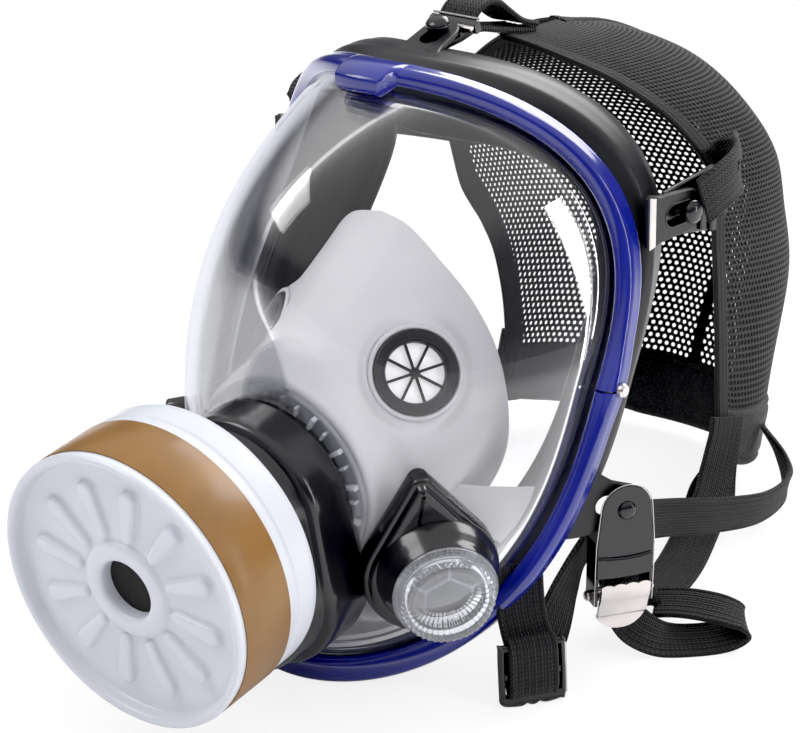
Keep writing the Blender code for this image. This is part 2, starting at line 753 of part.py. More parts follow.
def make_exhale_housing(side, tag, frame):
    rings = [cover_ring(side, inset, height) for inset, height in COVER_STATIONS]
    housing = loft("exhale_housing_" + tag, rings, BLACK, frame, smooth=35)
    boolean(housing, turned_tool("exhale_cone_" + tag, CONE_PROFILE, frame, 28), "UNION")
    boolean(housing, outside)
    boolean(housing, hoop_space)
    boolean(housing, port_space)
    boolean(housing, turned_tool("exhale_bore_" + tag, BORE_PROFILE, frame, 28))


def knurl(radius, height, notch):
    ring = []
    for i in range(CAP_STEPS):
        angle = FULL_TURN * i / CAP_STEPS
        reach = radius - (notch if i % 2 else 0)
        ring.append(Vector((math.cos(angle) * reach, math.sin(angle) * reach, height)))
    return ring


def make_exhale_cap(tag, frame):
    rings = [knurl(*station) for station in CAP_STATIONS]
    cap = loft("exhale_cap_" + tag, rings, CLEAR_CAP, frame, smooth=30)
    plug = section(14.2, 16.2, 16.2, 20.0)
    boolean(cap, turned_tool("cap_plug_" + tag, plug, frame, 28), "UNION")
    boolean(cap, turned_tool("cap_hollow_" + tag, CAP_HOLLOW, frame, 28))


def make_exhale_port(side, tag):
    at = dome(EXHALE_SPREAD, EXHALE_ANGLE)
    out = dome_normal(EXHALE_SPREAD, EXHALE_ANGLE)
    frame = axes(to_side(side, at), to_side(side, out), UP)
    make_exhale_housing(side, tag, frame)
    boolean(lens, turned_tool("exhale_hole_" + tag, section(0, 16.9, -14, 14), frame, 28))
    valve_seat(
        "exhale_valve_seat_" + tag, frame, low=-7.0, high=1.8, outer=16.4, inner=13.2, spokes=4
    )
    valve_disc(
        "exhale_valve_disc_" + tag, frame, face_r=13.8, edge_r=14.4, low=2.5, edge=2.9, high=3.4
    )
    make_exhale_cap(tag, frame)


for side, tag in SIDES:
    make_exhale_port(side, tag)

# ---------------------------------------------------------------- nose cup
# The open edge (x, y, z), from the nose bridge down the wearer's left cheek to the chin
CUP_EDGE = [
    (0, 147, 97), (13, 146.5, 94), (25, 150, 82), (35, 156, 67), (42, 162, 48),
    (45, 166, 25), (44, 166, 4), (36, 160, -15), (20, 150, -28), (0, 145, -33),
]
CUP_EDGE_PATH = path_through(CUP_EDGE, CUP_STEPS // 2)
# From the top down the wearer's left
CUP_ANGLES = [math.pi / 2 - FULL_TURN * i / CUP_STEPS for i in range(CUP_STEPS)]


def bell_loop(radius, height):
    """A circle about the port's axis."""
    return [
        PORT @ Vector((-math.cos(angle) * radius, math.sin(angle) * radius, height))
        for angle in CUP_ANGLES
    ]


def cup_ring(share, inset):
    """One loop of the cup: share 0 is round the port, 1 the edge on the face.

    inset moves it inwards.
    """
    loop = []
    swell = 4 * share * (1 - share)
    bells = bell_loop(CUP_BELL_R - inset, CUP_BELL_BACK)
    for i, (angle, bell) in enumerate(zip(CUP_ANGLES, bells)):
        edge = CUP_EDGE_PATH[min(i, CUP_STEPS - i)][0].copy()
        if i > CUP_STEPS // 2:
            edge.x = -edge.x
        edge = edge - (edge - CUP_CENTRE).normalized() * inset
        beside = abs(math.cos(angle))
        outward = math.copysign(1, math.cos(angle)) * beside * 3.0
        bulge = Vector((outward, -3.0 * beside, -2.0 * max(math.sin(angle), 0)))
        loop.append(bell.lerp(edge, share) + bulge * swell)
    return loop


def make_nose_cup():
    lip = [(34.0, 92.0), (34.0, 90.0), (38.8, 90.6), (40.4, 92.4)]  # radius, height
    rings = [bell_loop(radius, height) for radius, height in lip]
    rings += [cup_ring(share, 0.0) for share in (0.0, 0.25, 0.5, 0.75, 1.0)]
    rings += [cup_ring(share, CUP_T) for share in (1.0, 0.75, 0.5, 0.25, 0.04)]
    rings += [bell_loop(37.6, 94.0)]
    return loft("nose_cup", rings, SILICONE, around=True, smooth=50)


nose_cup = make_nose_cup()

# Check valves in the cup's cheeks
for side, tag in SIDES:
    frame = axes(to_side(side, CUP_VALVE_AT), to_side(side, CUP_VALVE_AXIS), UP)
    boolean(nose_cup, turned_tool("cup_hole_" + tag, section(0, 16.2, -12, 9), frame, 24))
    valve_seat(
        "cup_valve_seat_" + tag, frame,
        low=-2.6, high=2.2, outer=15.8, inner=10.6, spokes=8, hub=2.2, width=1.2,
    )
    valve_disc(
        "cup_valve_disc_" + tag, frame, face_r=12.6, edge_r=13.0, low=-4.0, edge=-3.6, high=-3.1
    )


# ---------------------------------------------------------------- rubber tabs and strap ends
def keyhole(length, width, hole_gap):
    """A tab outline along +x from the origin, and its two-lobed hole."""
    half = width / 2
    tip = length - half  # the centre of the rounded end
    end = []
    for i in range(10):
        angle = math.pi * i / 9
        end.append((tip + half * math.sin(angle), -half * math.cos(angle)))
    body = [(0, half + 1.5), (0, -half - 1.5), (3.0, -half)] + end + [(3.0, half)]
    return [body, two_circles((tip - hole_gap, 0), 4.0, (tip, 0), 3.4, 8, 8)]


def stud_end(name, frame, at, reach, width):
    """A strap end: a tapered plate behind the tab, with a ball stud through the keyhole."""
    half = width / 2
    outline = [
        (at - 5, -5.5), (at + 2, -7.5), (reach, -half), (reach, half), (at + 2, 7.5), (at - 5, 5.5),
    ]
    body = as_mesh(plate(name, [outline], 2.0, BLACK, frame, -2.6))
    stud = [
        (0, -2.4), (2.3, -2.4), (2.3, 2.0), (4.1, 3.0), (4.6, 4.4), (3.9, 5.8), (2.2, 6.6),
        (0, 6.8),
    ]
    boolean(body, turned_tool(name + "_stud", stud, frame @ shifted(x=at), 14), "UNION")


def make_temple_tab(side, tag):
    """Starts on the seal's wall behind the hoop and points back."""
    frame = tab_frame(
        to_side(side, (85.2, 195.4, 97.0)), to_side(side, (0.2, 0.98, 0.03)), (side, -0.2, 0)
    )
    plate("temple_tab_" + tag, keyhole(27.0, 16.5, 8.0), TAB_T, RUBBER, frame)
    stud_end("temple_strap_end_" + tag, frame, at=18.9, reach=36.0, width=WEBBING_W + 3)


def make_jaw_tab(side, tag):
    """Placed so that the outer lobe of its keyhole is on the jaw buckle's stud."""
    along = to_side(side, (0.56, 0.80, -0.2)).normalized()
    start = to_side(side, BUCKLE_AT) - along * (JAW_TAB_LENGTH - JAW_TAB_W / 2)
    frame = tab_frame(start, along, to_side(side, BUCKLE_FACING))
    plate("jaw_tab_" + tag, keyhole(JAW_TAB_LENGTH, JAW_TAB_W, 7.0), TAB_T, RUBBER, frame)


def make_top_tab():
    frame = tab_frame((0, 169.0, 158.2), (0, 0.97, -0.24), (0, 0.24, 0.97))
    plate("top_tab", keyhole(21.0, 15.0, 6.0), TAB_T, RUBBER, frame)
    stud_end("top_strap_end", frame, at=13.6, reach=23.0, width=WEBBING_W + 2)


for side, tag in SIDES:
    make_temple_tab(side, tag)
    make_jaw_tab(side, tag)
make_top_tab()

# ---------------------------------------------------------------- jaw and neck buckles
BUCKLE_STUD = [
    (0, 3.4), (3.8, 3.4), (3.8, 2.6), (2.2, 2.6), (2.2, -2.4), (3.6, -3.0), (3.4, -4.4),
    (2.0, -5.0), (0, -5.0),
]
# Cam lever from its rolled eye to its thumb tongue, from the pin: y, z, half width, thickness
LEVER_STATIONS = [
    (2.8, 0.0, 9.4, 1.2), (1.8, 0.0, 9.4, 4.4), (-2.2, 0.3, 9.4, 4.6), (-3.4, 1.9, 9.4, 1.5),
    (-6.2, 2.4, 9.4, 1.5), (-7.2, 1.6, 9.2, 1.5), (-9.6, 1.3, 8.4, 1.5), (-11.4, 1.2, 6.4, 1.5),
    (-12.4, 1.1, 3.6, 1.4),
]
NECK_BUCKLE_OUTLINE = [
    (-12.5, -10.5), (-11, -12), (11, -12), (12.5, -10.5),
    (12.5, 10.5), (11, 12), (-11, 12), (-12.5, 10.5),
]
PIN_HOLE = section(0, PIN_HOLE_R, -14, 14)


def make_jaw_buckle(tag, frame, pin_frame):
    """A face plate with two side walls, a cross bar behind it and a stud."""
    arch = [(9.8 * math.cos(a), 9.8 * math.sin(a)) for a in (math.pi * i / 10 for i in range(11))]
    outline = [(-11.2, -35.0), (11.2, -35.0), (11.2, -13.0)] + arch + [(-11.2, -13.0)]
    buckle = as_mesh(plate("jaw_buckle_" + tag, [outline], 1.6, DARK_STEEL, frame, 3.6))
    walls = [
        block((10.0, -38.5, -4.6), (11.4, -13.5, 4.2)),
        block((-11.4, -38.5, -4.6), (-10.0, -13.5, 4.2)),
    ]
    bar = [block((-10.6, -24.5, -4.4), (10.6, -21.5, -3.0))]
    boolean(buckle, blocks_tool("buckle_walls_" + tag, walls, frame), "UNION")
    boolean(buckle, blocks_tool("buckle_bar_" + tag, bar, frame), "UNION")
    boolean(buckle, turned_tool("jaw_stud_" + tag, BUCKLE_STUD, frame, 12), "UNION")
    boolean(buckle, turned_tool("pin_hole_" + tag, PIN_HOLE, pin_frame, 10))


def make_jaw_lever(tag, pivot, pin_frame):
    rings = []
    for y, z, half, thickness in LEVER_STATIONS:
        top, low = z + thickness / 2, z - thickness / 2
        corners = ((-half, top), (half, top), (half, low), (-half, low))
        rings.append([Vector((x, y, height)) for x, height in corners])
    lever = loft("jaw_lever_" + tag, rings, STEEL, pivot)
    boolean(lever, turned_tool("lever_eye_" + tag, PIN_HOLE, pin_frame, 10))


def make_neck_buckle(side, tag):
    """A slide buckle with two slots, for the neck strap."""
    z = to_side(side, (0.8, -0.6, 0)).normalized()
    y = to_side(side, (-0.06, 0.0, 1)).normalized()
    x = y.cross(z).normalized()
    frame = frame_of(to_side(side, (84.0, 126.0, -57.2)), x, y, x.cross(y))
    outlines = [NECK_BUCKLE_OUTLINE]
    for low, high in ((2.0, 7.6), (-7.6, -2.0)):
        outlines.append([(-10.4, low), (10.4, low), (10.4, high), (-10.4, high)])
    plate("neck_buckle_" + tag, outlines, 3.0, BLACK, frame)


for side, tag in SIDES:
    # Local y is up and z out of the buckle's face
    frame = axes(to_side(side, BUCKLE_AT), to_side(side, BUCKLE_FACING), UP)
    pivot = frame @ shifted(y=PIN_Y)
    pin_frame = pivot @ Matrix.Rotation(math.pi / 2, 4, "Y")
    make_jaw_buckle(tag, frame, pin_frame)
    pin = section(0, PIN_R, -PIN_HALF, PIN_HALF)
    turned("jaw_lever_pin_" + tag, pin, STEEL, pin_frame, steps=10)
    make_jaw_lever(tag, pivot, pin_frame)
    make_neck_buckle(side, tag)

# ---------------------------------------------------------------- webbing
# Straps on the wearer's left: name, steps, width, then the path's points,
# each with the direction across the webbing
SIDE_STRAPS = [
    ("temple_strap_", 6, WEBBING_W, [
        ((93.4, 233.8, 98.2), (0.1, 0.0, 1)), ((84, 249, 96), (0.1, 0.0, 1)),
        ((73, 266, 92), (0.1, 0.0, 1)), ((63.5, 278, 89), (0.1, 0.0, 1)),
    ]),
    ("jaw_strap_", 14, WEBBING_W, [
        ((88.4, 179.5, -35), (0.6, 0.75, 0.0)), ((87.5, 186, -47), (0.7, 0.7, 0.0)),
        ((85, 199, -60), (0.8, 0.5, 0.0)), ((80, 222, -67.6), (0.95, 0.2, 0.0)),
        ((73, 252, -67.6), (0.95, 0.2, 0.0)), ((66, 280, -61), (0.8, 0.5, 0.2)),
        ((62.5, 296, -50), (0.3, 0.9, 0.2)), ((61.8, 298, -40), (0.1, 1.0, 0.1)),
    ]),
    ("jaw_strap_tail_", 18, 16.0, [
        ((92.5, 178, -53.5), (0.2, 0.9, 0.3)), ((96, 181, -60), (0.2, 0.9, 0.3)),
        ((104, 186, -65.4), (0.1, 0.95, 0.3)), ((116, 191, -66.6), (-0.4, 0.9, 0.15)),
        ((127, 203, -65.8), (-0.8, 0.5, 0.2)), ((130, 214, -60), (-0.6, 0.6, 0.3)),
        ((125, 214, -52), (-0.2, 0.8, 0.4)), ((113, 203, -49), (-0.1, 0.8, 0.5)),
        ((105, 197, -50), (0.0, 0.8, 0.5)),
    ]),
    ("neck_strap_", 26, 17.0, [
        ((80.2, 133, -61), (0.6, 0.8, 0)), ((80.8, 143, -50), (0.45, 0.8, -0.3)),
        ((80.4, 153, -37), (0.1, 0.75, -0.6)), ((79.5, 165, -27), (-0.2, 0.4, -0.9)),
        ((79.2, 178, -24), (-0.1, 0, -1)), ((80.5, 196, -25), (0, 0, -1)),
        ((82, 224, -31), (-0.1, 0, -1)), ((90, 258, -38), (-0.2, 0, -1)),
        ((98, 296, -46), (-0.3, 0, -1)), ((94, 328, -52), (-0.2, 0, -1)),
        ((76, 341, -50), (-0.1, 0, -1)), ((66.5, 338, -44), (-0.1, 0, -1)),
    ]),
    ("chin_strap_", 8, 15.0, [
        ((81.7, 127.7, -52), (0.6, 0.8, 0)), ((80.8, 128.2, -46.5), (0.6, 0.8, 0)),
        ((77.8, 128.2, -43.2), (0.6, 0.8, 0)), ((73.5, 127.6, -42.6), (0.6, 0.8, 0)),
    ]),
]
TOP_STRAP = [(0, 193.5, 150.6), (0, 199, 150.4), (0, 207, 149.0), (0, 214, 147.2)]


def strap(name, points, widths, steps, width=WEBBING_W):
    """Flat webbing along a path. widths gives the direction across it at each point."""
    path = path_through(points, steps, widths)

    def point(u, v):
        i = min(int(round(u * steps)), steps)
        ahead = (path[min(i + 1, steps)][0] - path[max(i - 1, 0)][0]).normalized()
        across = path[i][1] - ahead * ahead.dot(path[i][1])
        return path[i][0] + across.normalized() * (v - 0.5) * width

    sheet(name, steps, 1, point, WEBBING_T, WEBBING)


for side, tag in SIDES:
    for name, steps, width, stations in SIDE_STRAPS:
        points = [to_side(side, point) for point, _ in stations]
        widths = [to_side(side, across) for _, across in stations]
        strap(name + tag, points, widths, steps, width)
strap("top_strap", TOP_STRAP, [(1, 0, 0)] * len(TOP_STRAP), 6)

# ---------------------------------------------------------------- head net
# Half width, front y, back y, front z, back z, from the nape up to the crown
NET_LEVELS = [
    (62, 302, 370, -36, -66.0), (62, 297, 388, -12, -36), (61, 293, 404, 30, 5),
    (60, 290, 401, 60, 38), (60, 287, 388, 86, 70), (52, 268, 365, 111, 97),
    (38, 248, 338, 129, 119), (22, 230, 303, 141, 135), (10, 218, 272, 147, 142),
]


def net_point(u, v):
    """u runs round the back of the head from right to left, v from the nape to the crown."""
    level = v * (len(NET_LEVELS) - 1)
    k = min(int(level), len(NET_LEVELS) - 2)
    share = level - k
    half_w, front_y, back_y, front_z, back_z = (
        a + (b - a) * share for a, b in zip(NET_LEVELS[k], NET_LEVELS[k + 1])
    )
    angle = math.pi * (1 - u)
    depth = math.sin(angle) ** 0.8
    # The lower edge drops to the nape close behind its front ends
    fall = math.sin(angle) ** (0.35 + 0.45 * min(4 * v, 1))
    x = half_w * power(math.cos(angle), 0.75)
    return Vector((x, front_y + (back_y - front_y) * depth, front_z + (back_z - front_z) * fall))


sheet("head_net", 20, 8, net_point, 1.6, MESH, smooth=70)
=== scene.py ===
"""Looks for a full face respirator, built round its CAD frame.

Shapes are in the design frame in millimetres: x 0 is the plane of symmetry with the wearer's
left at +X, the mask looks along -Y, z is up, and z 0 is the middle of the canister's front.
to_world() moves them to the scene's frame in metres.
"""

import math

import bpy
import numpy as np
from mathutils import Matrix, Vector


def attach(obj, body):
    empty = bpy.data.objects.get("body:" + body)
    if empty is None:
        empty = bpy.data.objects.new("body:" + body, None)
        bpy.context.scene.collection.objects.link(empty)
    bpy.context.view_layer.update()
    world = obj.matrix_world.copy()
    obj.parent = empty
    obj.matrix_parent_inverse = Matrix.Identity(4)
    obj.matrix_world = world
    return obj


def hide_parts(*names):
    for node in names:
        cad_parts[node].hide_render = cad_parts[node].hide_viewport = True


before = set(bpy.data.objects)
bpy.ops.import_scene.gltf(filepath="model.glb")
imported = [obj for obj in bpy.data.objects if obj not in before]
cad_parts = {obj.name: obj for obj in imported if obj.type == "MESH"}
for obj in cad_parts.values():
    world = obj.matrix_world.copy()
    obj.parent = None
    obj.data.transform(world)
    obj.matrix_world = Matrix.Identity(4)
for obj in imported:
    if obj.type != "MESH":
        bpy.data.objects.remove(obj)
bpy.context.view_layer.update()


# ---------------------------------------------------------------- driving sizes, as in the CAD
ORIGIN = np.array((0.0, 199.0, -69.6))  # the design point at the scene's origin
TILT = math.radians(7.6)  # of the port's axis, rising towards the wearer
PORT_TOP_R, PORT_LOW_R, PORT_DROP = 34.0, 37.0, 30.0  # the two circles of the port's outline
HALF_W, HALF_H, HOOP_Z = 84.4, 103.5, 44.1  # clamp hoop
POWER_TOP, POWER_LOW, TAPER = 0.907, 0.818, 0.021  # shape of the hoop's superellipse
FRONT_Y, FRONT_Z, DOME_POWER = 75.4, 64.1, 2.95  # foremost point and curve of the lens
LENS_T = 2.0
HOOP_BAND, HOOP_EXTRA_LOW = 6.6, 3.6  # width of the hoop's band, and its gain at the bottom
SEAM_T = -0.01  # hoop angle of the left seam between the halves
EXHALE_RHO, EXHALE_T = 0.8186, -0.701  # place of the left exhale port on the lens
EXHALE_BORE, PORT_BORE = 17.5, 28.6
CANISTER_R = 52.2
CUP_VALVE_AT = np.array((34.5, 122.0, 49.5))
CUP_VALVE_AXIS = np.array((0.66, -0.58, 0.47))
CUP_T = 1.9
STRAP_T, TAPE_T = 1.7, 2.4
TAB_T = 2.3
TAU = 2 * math.pi
UP = (0, 0, 1)
SIDES = ((1, "left"), (-1, "right"))


# ---------------------------------------------------------------- vectors and curves
def unit(v):
    v = np.asarray(v, float)
    length = np.linalg.norm(v, axis=-1, keepdims=True)
    return v / np.where(length < 1e-12, 1, length)


def square_to(v, direction):
    """v turned square to a unit direction, with length one."""
    return unit(v - direction * np.sum(v * direction, axis=-1, keepdims=True))


def clamp(value):
    return min(max(value, 0), 1)


def bell(x, centre, width):
    return np.exp(-(((x - centre) / width) ** 2))


def run_along(points):
    """The distance travelled at each point of a path."""
    steps = np.linalg.norm(np.diff(points, axis=0), axis=1)
    return np.concatenate([[0], np.cumsum(steps)])


def spline(points, n, measured=slice(None)):
    """n rows spaced evenly along a Catmull-Rom curve; only the measured columns give length."""
    p = np.asarray(points, float)
    p = np.concatenate([2 * p[:1] - p[1:2], p, 2 * p[-1:] - p[-2:-1]])
    t = np.linspace(0, 1, 24, endpoint=False)[:, None]
    fine = []
    for i in range(1, len(p) - 2):
        a, b, c, d = p[i - 1 : i + 3]
        square, cube = 2 * a - 5 * b + 4 * c - d, 3 * b - a - 3 * c + d
        fine.append(0.5 * (2 * b + (c - a) * t + square * t * t + cube * t**3))
    fine = np.concatenate(fine + [p[-2:-1]])
    run = run_along(fine[:, measured])
    want = np.linspace(0, run[-1], n)
    return np.stack([np.interp(want, run, column) for column in fine.T], axis=1)


def rounded(profile, radius, n=4):
    """A closed profile with its corners rounded, apart from those on the axis."""
    made = []
    for k, corner in enumerate(profile):
        p = np.array(corner, float)
        if p[0] < 1e-6:
            made.append(tuple(p))
            continue
        before = np.array(profile[k - 1], float) - p
        after = np.array(profile[(k + 1) % len(profile)], float) - p
        length_before, length_after = np.linalg.norm(before), np.linalg.norm(after)
        cut = min(radius, length_before * 0.45, length_after * 0.45)
        start, end = p + before / length_before * cut, p + after / length_after * cut
        for t in np.linspace(0, 1, n + 1):
            made.append(tuple((1 - t) ** 2 * start + 2 * t * (1 - t) * p + t * t * end))
    return made


def two_circles(c1, r1, c2, r2, n1=12, n2=12):
    """The outline round two circles, in n1 and n2 steps."""
    dx, dy = c2[0] - c1[0], c2[1] - c1[1]
    heading = math.atan2(dy, dx)
    lean = math.acos((r1 - r2) / math.hypot(dx, dy))
    points = []
    for (cx, cy), r, start, end, n in (
        (c2, r2, heading - lean, heading + lean, n2),
        (c1, r1, heading + lean, heading + TAU - lean, n1),
    ):
        for i in range(n + 1):
            a = start + (end - start) * i / n
            points.append((cx + r * math.cos(a), cy + r * math.sin(a)))
    return np.array(points)


def rectangle(x0, y0, x1, y1):
    return [(x0, y0), (x1, y0), (x1, y1), (x0, y1)]


def symmetric(edge):
    """An outline from its edge at -y and the mirror image at +y."""
    return edge + [(x, -y) for x, y in reversed(edge)]


def outline_normals(p):
    ahead, behind = np.roll(p, -1, axis=0), np.roll(p, 1, axis=0)
    d = ahead - behind
    n = unit(np.stack([d[:, 1], -d[:, 0]], axis=1))
    area = float(np.sum(p[:, 0] * ahead[:, 1] - ahead[:, 0] * p[:, 1]))
    return n if area > 0 else -n


def ray_cuts(loop, centre, n=64):
    """The loop's points at n equal angles about the centre."""
    edge, offset = np.roll(loop, -1, axis=0) - loop, loop - centre
    made = []
    for a in np.linspace(0, TAU, n, endpoint=False):
        ray = np.array((math.cos(a), math.sin(a)))
        slant = ray[0] * edge[:, 1] - ray[1] * edge[:, 0]
        parallel = np.abs(slant) < 1e-12
        slant = np.where(parallel, 1, slant)
        reach = (offset[:, 0] * edge[:, 1] - offset[:, 1] * edge[:, 0]) / slant
        share = (offset[:, 0] * ray[1] - offset[:, 1] * ray[0]) / slant
        hit = ~parallel & (reach > 0) & (share >= -1e-9) & (share <= 1 + 1e-9)
        made.append(centre + ray * reach[hit].max())
    return np.array(made)


# ---------------------------------------------------------------- frames and mesh builders
class Frame:
    """A local frame in design millimetres; the columns of axes are its x, y and z."""

    def __init__(self, origin, axes):
        self.origin, self.axes = np.asarray(origin, float), axes

    @classmethod
    def of(cls, origin, *axes):
        return cls(origin, np.stack([unit(axis) for axis in axes], axis=1))

    @classmethod
    def facing(cls, origin, z):
        """z is exact, and y leans to the design frame's up."""
        z = unit(z)
        y = square_to(UP, z)
        return cls.of(origin, np.cross(y, z), y, z)

    @classmethod
    def along(cls, origin, x, z_hint):
        """x is exact, and z is as near the hint as it can be."""
        x = unit(x)
        z = square_to(z_hint, x)
        return cls.of(origin, x, np.cross(z, x), z)

    def at(self, p):
        return np.asarray(p, float) @ self.axes.T + self.origin

    def ring(self, outline, height):
        """A flat outline at one height, or at a height for each point."""
        return self.at(np.column_stack([outline, np.full(len(outline), height)]))

    def polar(self, points):
        """Distances from the z axis, and heights along it."""
        x, y, z = ((points - self.origin) @ self.axes).T
        return np.hypot(x, y), z

    def shifted(self, p):
        return Frame(self.at(p), self.axes)

    def spoke(self, angle):
        """The frame turned about its z."""
        c, s = math.cos(angle), math.sin(angle)
        return Frame(self.origin, self.axes @ np.array([[c, -s, 0], [s, c, 0], [0, 0, 1]]))

    def about_x(self):
        """The frame whose z is this one's x."""
        return Frame(self.origin, self.axes[:, [1, 2, 0]])

    def on_side(self, side):
        """The frame itself for side 1, and its mirror image for side -1."""
        return Frame(self.origin * (side, 1, 1), self.axes * [[side], [1], [1]])


PORT = Frame.facing((0, 0, 0), (0, math.cos(TILT), math.sin(TILT)))  # z runs towards the wearer


def to_world(p):
    return (np.asarray(p, float) - ORIGIN) / 1000.0


def make_object(
    name, points, faces, paint, body="mask", replaces=None, uv=None, sharp=None
):
    """A smooth mesh from design-frame points. uv holds one pair for each vertex."""
    mesh = bpy.data.meshes.new(name)
    mesh.from_pydata(to_world(points).tolist(), [], faces)
    mesh.validate()
    if uv is not None:
        layer = mesh.uv_layers.new(name="strap")
        corners = np.empty(len(mesh.loops), np.int32)
        mesh.loops.foreach_get("vertex_index", corners)
        layer.data.foreach_set("uv", uv.reshape(-1, 2).astype(np.float32)[corners].ravel())
    mesh.shade_smooth()
    if sharp:
        mesh.set_sharp_from_angle(angle=math.radians(sharp))
    mesh.materials.append(paint)
    obj = bpy.data.objects.new(name, mesh)
    bpy.context.scene.collection.objects.link(obj)
    if replaces:
        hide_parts(replaces)
    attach(obj, body)


def grid_faces(nu, nv, wrap_u=False, wrap_v=False):
    i = np.arange(nu if wrap_u else nu - 1)
    j = np.arange(nv if wrap_v else nv - 1)
    i, j = np.meshgrid(i, j, indexing="ij")
    i2, j2 = (i + 1) % nu, (j + 1) % nv
    corners = [i * nv + j, i2 * nv + j, i2 * nv + j2, i * nv + j2]
    return np.stack(corners, axis=-1).reshape(-1, 4)


def inside_out(points, quads):
    """Whether the volume that the quads enclose is negative."""
    a, b, c, d = (points - points.mean(0))[quads].transpose(1, 0, 2)
    return np.sum(a * (np.cross(b, c) + np.cross(c, d))) < 0


class Solid:
    """Collects tubes, turned shapes and prisms into one mesh."""

    def __init__(self):
        self.points, self.quads, self.caps = [], [], []
        self.count = 0

    def grid(self, points, wrap_u=False, wrap_v=True, caps=False):
        """Rings of points, turned outwards. caps closes the first and last ring."""
        points = np.asarray(points, float)
        nu, nv = points.shape[:2]
        flat, first = points.reshape(-1, 3), self.count
        quads = grid_faces(nu, nv, wrap_u, wrap_v)
        flip = inside_out(flat, quads)
        if flip:
            quads = quads[:, ::-1]
        self.points.append(flat)
        self.count += len(flat)
        self.quads += (quads + first).tolist()
        if caps:
            for ring, turn in ((0, not flip), (nu - 1, flip)):
                loop = [first + ring * nv + k for k in range(nv)]
                self.caps.append(loop[::-1] if turn else loop)
        return self

    def tube(self, path, radius, sides=8):
        """A round wire through the path's points."""
        path = np.asarray(path, float)
        along = unit(np.gradient(path, axis=0))
        hint = (0.0, 0.0, 1.0) if abs(along[0][2]) < 0.9 else (1.0, 0.0, 0.0)
        normal = unit(np.cross(along[0], hint))
        normals = []
        for direction in along:
            normal = square_to(normal, direction)
            normals.append(normal)
        normals = np.array(normals)
        a = np.linspace(0, TAU, sides, endpoint=False)[None, :, None]
        turn = np.cos(a) * normals[:, None] + np.sin(a) * np.cross(along, normals)[:, None]
        return self.grid(path[:, None] + radius * turn, caps=True)

    def lathe(self, frame, profile, steps=96):
        """Turns (radius, height) points about the frame's z.

        The last point joins the first, unless both lie on the axis.
        """
        radius, height = np.array(profile, float).T
        closed = not (radius[0] < 1e-6 and radius[-1] < 1e-6)
        radius = np.maximum(radius, 1e-4)
        a = np.linspace(0, TAU, steps, endpoint=False)[:, None]
        ring = np.broadcast_arrays(radius * np.cos(a), radius * np.sin(a), height)
        return self.grid(frame.at(np.stack(ring, axis=-1)), wrap_u=True, wrap_v=closed)

    def prism(self, frame, outline, low, high, bevel, hole=None):
        """An outline raised from low to high with bevelled edges, and at most one hole."""
        out = np.asarray(outline, float)
        if hole is None:
            inner = out - bevel * outline_normals(out)
            rings = [(inner, low), (out, low + bevel), (out, high - bevel), (inner, high)]
            return self.grid([frame.ring(*ring) for ring in rings], caps=True)
        centre = hole.mean(0)
        out, hole = ray_cuts(out, centre), ray_cuts(hole, centre)
        inner = out - bevel * outline_normals(out)
        rings = [(out, low + bevel), (inner, low), (hole, low)]
        rings += [(hole, high), (inner, high), (out, high - bevel)]
        points = np.array([frame.ring(*ring) for ring in rings])
        return self.grid(np.swapaxes(points, 0, 1), wrap_u=True)

    def done(self, name, paint, slot, body="mask", replaces=None, uv=None, sharp=35):
        points, faces = np.concatenate(self.points), self.quads + self.caps
        make_object(name, points, faces, paint, body, replaces, uv, sharp)


# ---------------------------------------------------------------- lens and hoop surfaces
def signed_power(v, p):
    return np.sign(v) * np.abs(v) ** p


def hoop(t):
    """The hoop's line at angle t: 0 is the wearer's left and a quarter turn is the top."""
    t = np.asarray(t, float)
    s, c = np.sin(t), np.cos(t)
    power = np.where(s > 0, POWER_TOP, POWER_LOW)
    up = signed_power(s, power)
    x = HALF_W * signed_power(c, power) * (1 - TAPER * up)
    z = HALF_H * up
    # the hoop bows back towards the wearer at its sides, top and bottom
    side, h = (x / 80) ** 2, z / 100
    y = 26.4 + 124.1 * side + 30.4 * side * h + 0.259 * z + 81.1 * h * h
    return np.stack([x, y, HOOP_Z + z], axis=-1)


def at_hoop(t, out, back):
    """Points at distances outwards from the hoop's line and back towards the wearer."""
    d = hoop(np.asarray(t) + 0.02) - hoop(np.asarray(t) - 0.02)
    outwards = unit(np.stack([d[..., 2], np.zeros_like(d[..., 0]), -d[..., 0]], axis=-1))
    p = hoop(t) + outwards * np.asarray(out, float)[..., None]
    p[..., 1] += back
    return p


def dome(rho, t):
    """The lens's front surface: rho is 0 at its foremost point and 1 at the hoop."""
    x, y, z = np.moveaxis(hoop(t), -1, 0)
    y = FRONT_Y + (y - FRONT_Y) * rho**DOME_POWER
    return np.stack([rho * x, y, FRONT_Z * (1 - rho) + rho * z], axis=-1)


def dome_normal(rho, t):
    step = 1e-3
    rho = np.maximum(rho, 0.02)
    outwards = dome(rho + step, t) - dome(rho - step, t)
    n = unit(np.cross(outwards, dome(rho, t + step) - dome(rho, t - step)))
    return np.where(n[..., 1:2] < 0, n, -n)


EDGE_T = np.linspace(0, TAU, 2001)
EDGE = hoop(EDGE_T)
EDGE_ANGLE = np.unwrap(np.arctan2(EDGE[:, 2] - FRONT_Z, EDGE[:, 0]))


def dome_y(x, z):
    """The lens's front surface at x, z."""
    rise = z - FRONT_Z
    angle = (math.atan2(rise, x) - EDGE_ANGLE[0]) % TAU + EDGE_ANGLE[0]
    edge = hoop(np.interp(angle, EDGE_ANGLE, EDGE_T))
    rho = math.hypot(x, rise) / math.hypot(edge[0], edge[2] - FRONT_Z)
    return FRONT_Y + (edge[1] - FRONT_Y) * min(rho, 1.15) ** DOME_POWER


